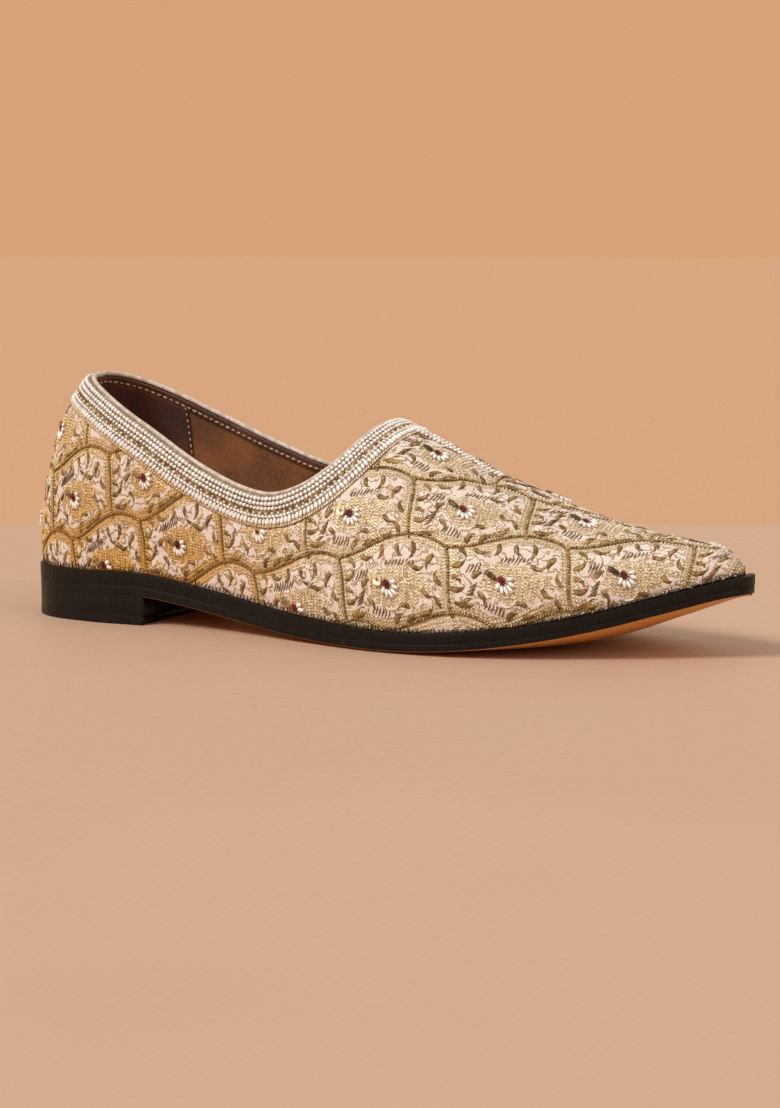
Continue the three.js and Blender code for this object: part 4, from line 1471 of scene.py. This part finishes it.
def brocade_finish():
    material, tree, shader = start_finish("brocade_cloth", Sheen_Weight=0.15)
    place = place_of(tree)
    flat = result(tree, "ShaderNodeVectorMath",
                  {0: map_of(tree), 1: (FLAT_SPAN, FLAT_SPAN, 0.0)}, operation="MULTIPLY")
    wall = put(tree, "ShaderNodeAttribute", attribute_name="wall").outputs["Fac"]
    cell = parts_of(tree, put(tree, "ShaderNodeAttribute", attribute_name="cell").outputs["Vector"])
    room = put(tree, "ShaderNodeAttribute", attribute_name="room").outputs["Fac"]

    wobble = result(tree, "ShaderNodeTexNoise", {"Vector": flat, "Scale": 0.25, "Detail": 2.0})
    level = maths(tree, "MULTIPLY_ADD", cell[0], -CELL_LEAN, cell[1])
    x = maths(tree, "DIVIDE", maths(tree, "SUBTRACT", cell[0], FIELD_PLACE[0]), FIELD_HALF[0])
    y = maths(tree, "DIVIDE", maths(tree, "SUBTRACT", level, FIELD_PLACE[1]), FIELD_HALF[1])
    reach = maths(tree, "SQRT", maths(tree, "ADD", maths(tree, "MULTIPLY", x, x),
                                      maths(tree, "MULTIPLY", y, y)))
    turn = maths(tree, "MULTIPLY", maths(tree, "ARCTAN2", y, x), IVORY_LEAVES / (2 * math.pi))
    swirl = maths(tree, "MULTIPLY_ADD", reach, LEAF_SWIRL, turn)
    swirl = maths(tree, "MULTIPLY_ADD", wobble, 3.2, swirl)
    rib = maths(tree, "MULTIPLY", maths(tree, "PINGPONG", swirl, 0.5), 2.0)
    inner = ramp(tree, reach, 0.72, 1.12, 0.96, GOLD_BETWEEN)
    outer = ramp(tree, wall, 1.7, 4.0, 1.15, GOLD_BETWEEN)
    over = maths(tree, "SUBTRACT", rib, maths(tree, "MAXIMUM", inner, outer))
    ivory = ramp(tree, over, 0.0, 0.07)
    outline = ramp(tree, maths(tree, "ABSOLUTE", maths(tree, "ADD", over, 0.05)), 0.12, 0.04)
    gold = maths(tree, "SUBTRACT", 1.0, ivory)
    # Painted shadow: the cloth darkens within about a millimetre of each cord, where the cord's shadow
    # falls.
    painted_cord_shadow = ramp(tree, wall, 1.15, 0.5)

    weave = use(tree, WEAVE, {"Flat Place": flat, "Pitch": 0.42})
    zigzag = use(tree, ZIGZAG, {"Flat Place": flat, "Row": 1.3, "Zig": 1.5, "Swing": 1.0})
    patch = patches(tree, place, 0.012, 0.35, 0.7)
    # Small random specks, strongest on the gold: partly a tone that varies and partly painted glint,
    # which breaks the gold up like glinting thread.
    glint_fleck = patches(tree, place, 0.0011)
    amber = use(tree, HEELWARD, {"Place": place})["Mask"]

    satin = mix(tree, maths(tree, "MULTIPLY", patch, 0.6), IVORY, IVORY_WARM)
    satin = mix(tree, maths(tree, "MULTIPLY", weave["Over"], 0.12), satin, tone(190, 164, 132))
    # Painted light: the zigzag threads are bright on their crests and darkened as painted shade in the
    # grooves between rows, with a painted glint that changes thread by thread.
    bright = mix(tree, zigzag["Glint"], tone(248, 234, 208), tone(228, 203, 164))
    woven = mix(tree, zigzag["Thread"], tone(158, 126, 76), bright)
    amber_bright = mix(tree, zigzag["Glint"], tone(244, 198, 106), tone(222, 160, 62))
    amber_woven = mix(tree, zigzag["Thread"], tone(146, 92, 28), amber_bright)
    woven = mix(tree, amber, woven, amber_woven)
    base = mix(tree, gold, satin, woven)
    base = mix(tree, maths(tree, "MULTIPLY", outline, 0.6), base, tone(142, 106, 56))
    # The painted glint specks go over the colour.
    base = mix(tree, maths(tree, "MULTIPLY", glint_fleck, maths(tree, "MULTIPLY_ADD", gold, 0.25, 0.1)),
               base, tone(150, 116, 66))
    # The painted cord shadow goes over the colour.
    base = mix(tree, maths(tree, "MULTIPLY", painted_cord_shadow, 0.55), base, tone(104, 76, 38))
    # Darker within 1.4 mm of the cloth's edges: at the foot of the collar band and at the sole.
    near_cloth_edge = ramp(tree, room, 1.4, 0.0)
    base = mix(tree, maths(tree, "MULTIPLY", near_cloth_edge, 0.55), base, tone(84, 58, 30))
    tree.links.new(base, shader.inputs["Base Color"])
    tree.links.new(maths(tree, "MULTIPLY_ADD", gold, -0.22, 0.62), shader.inputs["Roughness"])
    tree.links.new(maths(tree, "MULTIPLY", gold, 0.2), shader.inputs["Metallic"])
    threads = result(tree, "ShaderNodeMix", {0: gold, 2: weave["Height"], 3: zigzag["Thread"]})
    fine = bump(tree, threads, 0.12)
    fine = bump(tree, outline, -0.15, fine)
    tree.links.new(bump(tree, patch, 0.25, fine), shader.inputs["Normal"])
    return material


finish["brocade_cloth"] = brocade_finish()
cloth.data.materials.append(finish["brocade_cloth"])


def apply_modifiers(thing):
    """Keep the shape that the modifiers give, and remove them."""
    bpy.context.view_layer.update()
    graph = bpy.context.evaluated_depsgraph_get()
    made = bpy.data.meshes.new_from_object(thing.evaluated_get(graph), depsgraph=graph)
    thing.modifiers.clear()
    thing.data = made


def thicken(thing, thickness):
    """Give a sheet its wall, inwards from the side that shows."""
    wall = thing.modifiers.new("wall", "SOLIDIFY")
    wall.thickness = thickness * MM
    wall.offset = -1
    wall.use_even_offset = False
    apply_modifiers(thing)


CLOTH_THICK = 0.9
thicken(cloth, CLOTH_THICK)
print("upper_cloth", triangles(cloth), "triangles")

# %% [markdown]
# ## The lining and the heel pocket
# Inside, the shoe is lined with brown suede. A darker pocket is stitched over the heel, a strip
# of the same dark leather faces the rim, and a row of cream stitches runs just below the edge.
# The lining is the same last moved in by the wall, so it can't poke through the cloth.

# %% Lining, pocket and inner seams
LINING_THICK, LINING_RIM_ABOVE = 1.1, 0.045
LINING_RIBS, LINING_ROWS = 170, 34
POCKET_END, POCKET_DROP, POCKET_THICK, POCKET_LEAN = 3.3, 3.0, 0.35, 4.0
FACING_TOP, FACING_FOOT, FACING_THICK = 0.1, 3.6, 0.3
PATCH_ROWS, SEAM_POINTS, RIM_STITCH_DROP = 26, 60, 2.2


def inner_grid(side, stations, shares_low, shares_high, rows, inwards):
    """A grid of points under the upper's outside, between two shares."""
    share = np.linspace(0, 1, rows)[None, :]
    t = shares_low[:, None] + (shares_high - shares_low)[:, None] * share
    s = np.repeat(stations[:, None], rows, 1)
    return last_point(s, side, t) - inwards * last_normal(s, side, t)


def build_lining():
    grids = []
    for side in (OUTER, INNER):
        s = even_stations(LINING_RIBS, side)
        top = collar.share(s, side)
        grids.append(inner_grid(side, s, 0 * s, top, LINING_ROWS, WALL - LINING_THICK))
    lining = both_sides("suede_lining", grids)
    thicken(lining, LINING_THICK)
    lining.data.materials.append(finish["suede_lining"])
    lining.data.materials.append(finish["suede_pocket"])
    for face in lining.data.polygons:
        face.material_index = int(face.normal.z > 0.4 and face.center.z > LINING_RIM_ABOVE)
    return lining


def build_patch(name, end, foot_share, top, inwards, thickness, lean):
    """Leather glued inside, from a low share up to a line below the collar; the front edge leans."""
    grids = []
    for side in (OUTER, INNER):
        s = even_stations(LINING_RIBS, side)
        s = s[s <= end]
        top_share = Border(top).share(s, side)
        grid = inner_grid(side, s, foot_share(s, side), top_share, PATCH_ROWS, inwards)
        grid[-1, :, 0] += lean * (1 - np.linspace(0, 1, PATCH_ROWS))
        grids.append(grid)
    patch = both_sides(name, grids)
    thicken(patch, thickness)
    patch.data.materials.append(finish["suede_pocket"])
    return patch


def line_piece(name, points, outs, closed=True):
    """A bare line with its outward directions, ready for stringing."""
    count = len(points)
    edges = [(k, (k + 1) % count) for k in range(count if closed else count - 1)]
    line = make_mesh(name, points, [], merge=0, edges=edges)
    store(line.data, "out", outs)
    return line


lining = build_lining()
pocket = build_patch("heel_pocket", POCKET_END, lambda s, side: 0 * s + 0.05,
                     POCKET_DROP, WALL + 0.05, POCKET_THICK, POCKET_LEAN)
facing = build_patch("rim_facing", TOE, Border(FACING_FOOT).share, FACING_TOP, WALL + 0.02,
                     FACING_THICK, 0.0)
rim_points, rim_out = Border(RIM_STITCH_DROP).trail()
rim_line = line_piece("rim_line", rim_points - (WALL + 0.4) * rim_out, -rim_out)
rim_stitches = string(rim_line, "rim_stitches", one_ply, "cream_stitch", 2.7, 0.0, (2.0, 0.95, 0.7),
                      0.12, 0.12, seed=5)
print("lining", triangles(lining), "pocket", triangles(pocket), "rim", triangles(rim_stitches))


def pocket_seam(side):
    """Cream stitches up the pocket's leaning front edge."""
    s = POCKET_END - 0.12
    t = np.linspace(0.1, Border(3.2).share(np.array([s]), side)[0], SEAM_POINTS)
    points = last_point(s, side, t)
    outs = last_normal(s, side, t)
    points = points - (WALL + POCKET_THICK + 0.1) * outs
    points[:, 0] += POCKET_LEAN * (1 - np.linspace(0, 1, SEAM_POINTS))
    line = line_piece("seam_line", points, -outs, closed=False)
    return string(line, "pocket_stitches_" + ("outer" if side < 0 else "inner"), one_ply,
                  "cream_stitch", 2.6, 0.0, (1.8, 0.85, 0.6), 0.12, 0.15, seed=6)


seams = [pocket_seam(OUTER), pocket_seam(INNER)]

# %% [markdown]
# ## The beaded collar
# The border is a strip of braid that carries rows of beads, from the rolled edge down: three
# rows of small white beads, gold and brown thread with tiny gold beads, a slanted white row, a
# row of longer white beads set across, and a gold thread at its foot. The strip is swept between
# parallel collar lines, and each row is one line with beads strung along it, as a bead worker
# does with needle and thread.

# %% Strip, roll and rows
STRIP = ((0.25, 0.1), (0.5, 0.62), (2.2, 0.78), (4.4, 0.72), (6.2, 0.72), (8.2, 0.85), (10.4, 0.8),
         (BAND_WIDTH - 0.2, 0.55), (BAND_WIDTH, 0.05))
STRIP_COUNT = 420
ROLL_RADIUS = 1.0


def build_strip():
    loops = [Border(distance).trail(STRIP_COUNT, stand)[0] for distance, stand in STRIP]
    loops += [Border(distance).trail(STRIP_COUNT, -0.15)[0] for distance in (BAND_WIDTH, 6.0, 0.25)]
    count = len(loops[0])
    points = np.concatenate(loops)
    faces = grid_faces(len(loops), count, wrap_rows=True, wrap_columns=True)
    around = np.tile(np.linspace(0, count * 2.0, count), len(loops))
    across = np.repeat(np.arange(len(loops)), count)
    strip = make_mesh("collar_strip", points, faces, uv=np.stack([around / 2, across], -1), merge=0)
    face_outwards(strip)
    strip.data.materials.append(finish["band_ground"])
    return strip


def collar_roll_points():
    """The middle of the roll that caps cloth and lining."""
    points, outs = collar.trail(STRIP_COUNT)
    ahead = np.roll(points, -1, axis=0) - np.roll(points, 1, axis=0)
    ahead /= np.linalg.norm(ahead, axis=1, keepdims=True)
    up = np.cross(outs, ahead)
    return points - outs * 0.4 * WALL + up * (ROLL_RADIUS - 0.2), outs, up


def build_roll():
    middle, outs, up = collar_roll_points()
    sides, points, maps = 14, [], []
    for k in range(len(middle)):
        for m in range(sides):
            a = 2 * math.pi * m / sides
            away = 1.02 * math.cos(a) * outs[k] + 0.86 * math.sin(a) * up[k]
            points.append(middle[k] + ROLL_RADIUS * away)
            maps.append((k * 0.7, m / sides))
    faces = grid_faces(len(middle), sides, wrap_rows=True, wrap_columns=True)
    roll = make_mesh("collar_roll_cord", points, faces, uv=np.array(maps), merge=0)
    face_outwards(roll)
    roll.data.materials.append(finish["white_roll"])
    return roll


strip, roll = build_strip(), build_roll()


one_bead = unit_bead("round_bead", 8, 6)
ROWS = (("bead_row_upper", 1.35, 1.1, 1.75, 0.0, (1.75, 1.65, 1.4), "white_bead"),
        ("bead_row_second", 3.15, 1.2, 1.8, 0.0, (1.8, 1.7, 1.4), "white_bead"),
        ("bead_row_third", 4.85, 1.1, 1.7, 0.5, (1.7, 1.35, 1.2), "white_bead"),
        ("thread_row", 6.0, 0.95, 1.15, 0.75, (1.7, 0.7, 0.75), "band_thread"),
        ("gold_bead_row", 6.65, 1.0, 2.9, 0.0, (1.2, 1.2, 1.0), "sequin_gold"),
        ("rim_thread", 7.75, 1.05, 1.7, -0.3, (1.7, 1.15, 1.1), "white_bead"),
        ("bead_row_across", 9.7, 1.05, 1.75, 1.35, (2.9, 1.5, 1.4), "white_bead"),
        ("foot_thread", 11.3, 0.6, 1.2, 0.7, (1.6, 0.75, 0.8), "light_gold_stitch"))
rows = []
for k, (name, distance, stand, pitch, turn, size, material) in enumerate(ROWS):
    points, outs = Border(distance).trail(STRIP_COUNT, stand)
    row = string(line_piece("row_line", points, outs), name, one_bead, material, pitch, turn, size,
                 0.15, 0.26, seed=11 + k)
    rows.append(row)
    print(name, triangles(row), "triangles")

# Two rows of beads leave the throat and close up along the ridge of the vamp.
RIDGE_START, RIDGE_END, RIDGE_ASIDE, RIDGE_POINTS = 166.0, 199.0, 1.7, 60
crest = np.linspace(0, TOE, 2001)
ridge = np.interp(np.linspace(RIDGE_START, RIDGE_END, RIDGE_POINTS), column("crest_at", crest), crest)
for k, side in enumerate((OUTER, INNER)):
    points = last_point(ridge, side, np.ones(RIDGE_POINTS))
    points[:, 1] += side * RIDGE_ASIDE * np.linspace(1, 0.5, RIDGE_POINTS)
    points[:, 2] += np.linspace(1.0, 0.85, RIDGE_POINTS)
    upward = np.tile([0.0, 0.0, 1.0], (RIDGE_POINTS, 1))
    line = line_piece("ridge_line", points, upward, closed=False)
    rows.append(string(line, "ridge_bead_row_" + ("outer", "inner")[k], one_bead, "white_bead",
                       1.8, 0.3, (1.8, 1.7, 1.3), 0.15, 0.26, seed=31 + k))

# %% [markdown]
# ## Sole and heel
# The sole is two layers with a fine groove between them, then a stacked heel with its top
# piece. Each is one loft: a ring of points across the shoe at every station, with its corners
# rounded, moved out or in from the last's outline. The underside is tan leather, slightly
# domed, and ahead of the heel its lower corner is bare leather too.

# %% Lofting a layer of the sole
GROOVE_SHARE, GROOVE_INSET, GAP, GLUE_LINE = 0.42, 0.14, 0.3, 0.03
BREAST_AT, BREAST_HOLLOW, TOP_PIECE = 62.0, 3.0, 3.4
SOLE_RINGS, ACROSS = 260, 17


def rounded_side(low, high, radius, steps=4):
    """Height and inset up a rounded edge."""
    a = np.linspace(0, math.pi / 2, steps)
    bottom = [(low + radius * (1 - math.cos(k)), radius * (1 - math.sin(k))) for k in a]
    top = [(high - radius * (1 - math.sin(k)), radius * (1 - math.cos(k))) for k in a]
    return bottom + [((low + high) / 2, 0.0)] + top


def loft_layer(name, stations, low, high, grow, radius, dome=None, breast=None):
    """A layer between two heights; low, high, grow and dome are functions of the station."""
    rings = []
    for s in stations:
        bottom, top = float(low(s)), float(high(s))
        reach = float(grow(s))
        r = min(radius, (top - bottom) * 0.45)
        drop = float(dome(s)) if dome else 0.0
        u = np.linspace(-1, 1, ACROSS)

        def across(inset, heights):
            a = outline(np.array([s]), OUTER, np.array([reach - inset]))[0][0]
            b = outline(np.array([s]), INNER, np.array([reach - inset]))[0][0]
            xy = a + (b - a) * (u[:, None] + 1) / 2
            if breast is not None:
                hollow = BREAST_HOLLOW * smoothstep(s, breast - 2, breast)
                xy[:, 0] -= hollow * (1 - u**2)
            return [(*p, h) for p, h in zip(xy, heights)]

        under = across(r, np.maximum(bottom - drop * (1 - u**2), 0 if bottom > 0 else bottom))
        upper = across(r, np.full(ACROSS, top))
        side = rounded_side(bottom, top, r)
        ring = list(under)
        for height, inset in side[1:-1]:
            ring.append(across(inset, np.full(ACROSS, height))[-1])
        ring += upper[::-1]
        for height, inset in side[1:-1][::-1]:
            ring.append(across(inset, np.full(ACROSS, height))[0])
        rings.append(ring)
    count = len(rings[0])
    points = np.array(rings).reshape(-1, 3)
    faces = grid_faces(len(rings), count, wrap_columns=True)
    faces.append(list(range(count)))
    faces.append([(len(rings) - 1) * count + k for k in range(count)][::-1])
    layer = make_mesh(name, points, faces, merge=0.01)
    face_outwards(layer)
    return layer


def joint_at(s):
    return column("lift", s) + GROOVE_SHARE * column("edge", s)


def welt(s):
    return column("welt", s)


whole_sole = even_stations(SOLE_RINGS)
breast_station = float(np.interp(BREAST_AT, column("at", whole_sole), whole_sole))
heel_stations = np.append(whole_sole[whole_sole < breast_station - 0.02], breast_station)
midsole = loft_layer("midsole_edge", whole_sole, lambda s: joint_at(s) + GLUE_LINE,
                     lambda s: column("lift", s) + column("edge", s), welt, 0.14)
outsole = loft_layer("outsole_leather", whole_sole, lambda s: column("lift", s),
                     lambda s: joint_at(s) - GLUE_LINE, lambda s: welt(s) - GROOVE_INSET, 0.26,
                     dome=lambda s: column("dome", s))
heel = loft_layer("heel_stack", heel_stations, lambda s: TOP_PIECE + 0.05,
                  lambda s: column("lift", s) - 0.05, lambda s: welt(s) - 0.18, 0.06,
                  breast=breast_station)
top_piece = loft_layer("heel_top", heel_stations, lambda s: 0.0, lambda s: TOP_PIECE,
                       lambda s: welt(s) - 0.1, 0.08, breast=breast_station)


# %% Colour the sole's faces: painted edge, tan underside
def paint_sole(thing, edge, under=None):
    """Faces that look down are leather; ahead of the heel the lower corner is bare leather too."""
    thing.data.materials.append(finish[edge])
    breast_x = (BREAST_AT + SHIFT[0]) * MM
    if under:
        thing.data.materials.append(finish[under])
        for face in thing.data.polygons:
            face.material_index = int(face.normal.z < (-0.3 if face.center.x > breast_x else -0.75))


paint_sole(midsole, "black_edge_paint")
paint_sole(outsole, "black_edge_paint", "sole_leather")
paint_sole(heel, "black_edge_paint")
paint_sole(top_piece, "black_edge_paint", "heel_tread")
for layer in (midsole, outsole, heel, top_piece):
    print(layer.name, triangles(layer), "triangles")

# %% [markdown]
# ## The sock and the seam at the sole
# The sock is a thin padded leather that covers the inside of the sole. It swells a little in
# its middle and dips at its stitched rim. Outside, the cut cloth frays where it goes down
# behind the sole's edge, and short dark threads show along the join.

# %% Padded sock and frayed join
INSOLE, INSOLE_CLEAR, SOCK_SWELL = 2.4, 1.0, 0.9


def seat_height(s):
    """The sock's underside, just above the sole."""
    return column("lift", s) + column("edge", s) + GAP


def build_sock():
    """The padded sock: a loft like the sole's layers, then swollen and dipped at its rim."""
    stations = whole_sole[(whole_sole > 0.25) & (whole_sole < TOE - 0.6)]
    sock = loft_layer("sock", stations, seat_height, lambda s: seat_height(s) + INSOLE,
                      lambda s: 0 * s - WALL - INSOLE_CLEAR, 0.8)
    mesh = sock.data
    points = np.empty((len(mesh.vertices), 3))
    mesh.vertices.foreach_get("co", points.ravel())
    local = points / MM - SHIFT
    s = np.interp(local[:, 0], column("at", whole_sole), whole_sole)
    high = local[:, 2] - seat_height(s) > INSOLE * 0.8
    centre = column("axis", s)
    half = np.where(local[:, 1] < centre, column("outer", s), column("inner", s)) - WALL - INSOLE_CLEAR
    u = np.clip(abs(local[:, 1] - centre) / np.maximum(half, 1), 0, 1)
    swell = SOCK_SWELL * (1 - u**4) - 0.35 * np.exp(-((u - 0.9) / 0.04)**2)
    points[:, 2] += np.where(high, swell, 0) * MM
    mesh.vertices.foreach_set("co", points.ravel())
    mesh.update()
    mesh.materials.append(finish["sock_leather"])
    return sock


def foot_trail(share, stand):
    """A line round the foot of the upper."""
    loops, outs = [], []
    for side in (OUTER, INNER):
        s = even_stations(400, side)
        points, normals = last_point(s, side, share), last_normal(s, side, share)
        flip = 1 if side == OUTER else -1
        loops.append((points + stand * normals)[::flip])
        outs.append(normals[::flip])
    return np.concatenate([loops[0], loops[1][1:-1]]), np.concatenate([outs[0], outs[1][1:-1]])


sock = build_sock()
points, outs = foot_trail(0.012, 0.35)
fringe = string(line_piece("join_line", points, outs), "join_threads", one_ply, "welt_fringe",
                1.7, 1.15, (2.0, 0.42, 0.42), 0.35, 0.7, seed=21)
points, outs = foot_trail(0.02, 0.3)
lint = string(line_piece("join_line", points, outs), "frayed_cloth", one_ply, "white_roll",
              4.3, 0.4, (1.9, 0.34, 0.34), 0.45, 1.4, seed=22)
print("sock", triangles(sock), "join", triangles(fringe), triangles(lint))

# %% [markdown]
# ## Hand over to the frame
# Every piece, listed by the finish it stands for, rides on the one body, and the plain solids
# that the dressed pieces stand in for are hidden.

# %% Ride on the body and hide the plain solids
put_away(one_ply)
put_away(one_bead)
slots = {"brocade": [cloth, lining, pocket, facing, rim_stitches, fringe, lint, *seams, *sewn_pieces],
         "bead_band": [strip, *rows], "rolled_edge": [roll], "sock": [sock],
         "black_edge": [midsole], "sole_leather": [outsole], "heel_stack": [heel],
         "heel_tread": [top_piece]}
for slot_name, pieces in slots.items():
    for piece in pieces:
        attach(piece, "root")
for piece, node in ((cloth, "upper"), (strip, "collar_band"), (roll, "collar_roll"),
                    (sock, "insole"), (midsole, "midsole"), (outsole, "outsole"),
                    (heel, "heel_block"), (top_piece, "heel_top_piece")):
    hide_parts(node)

bpy.context.view_layer.update()
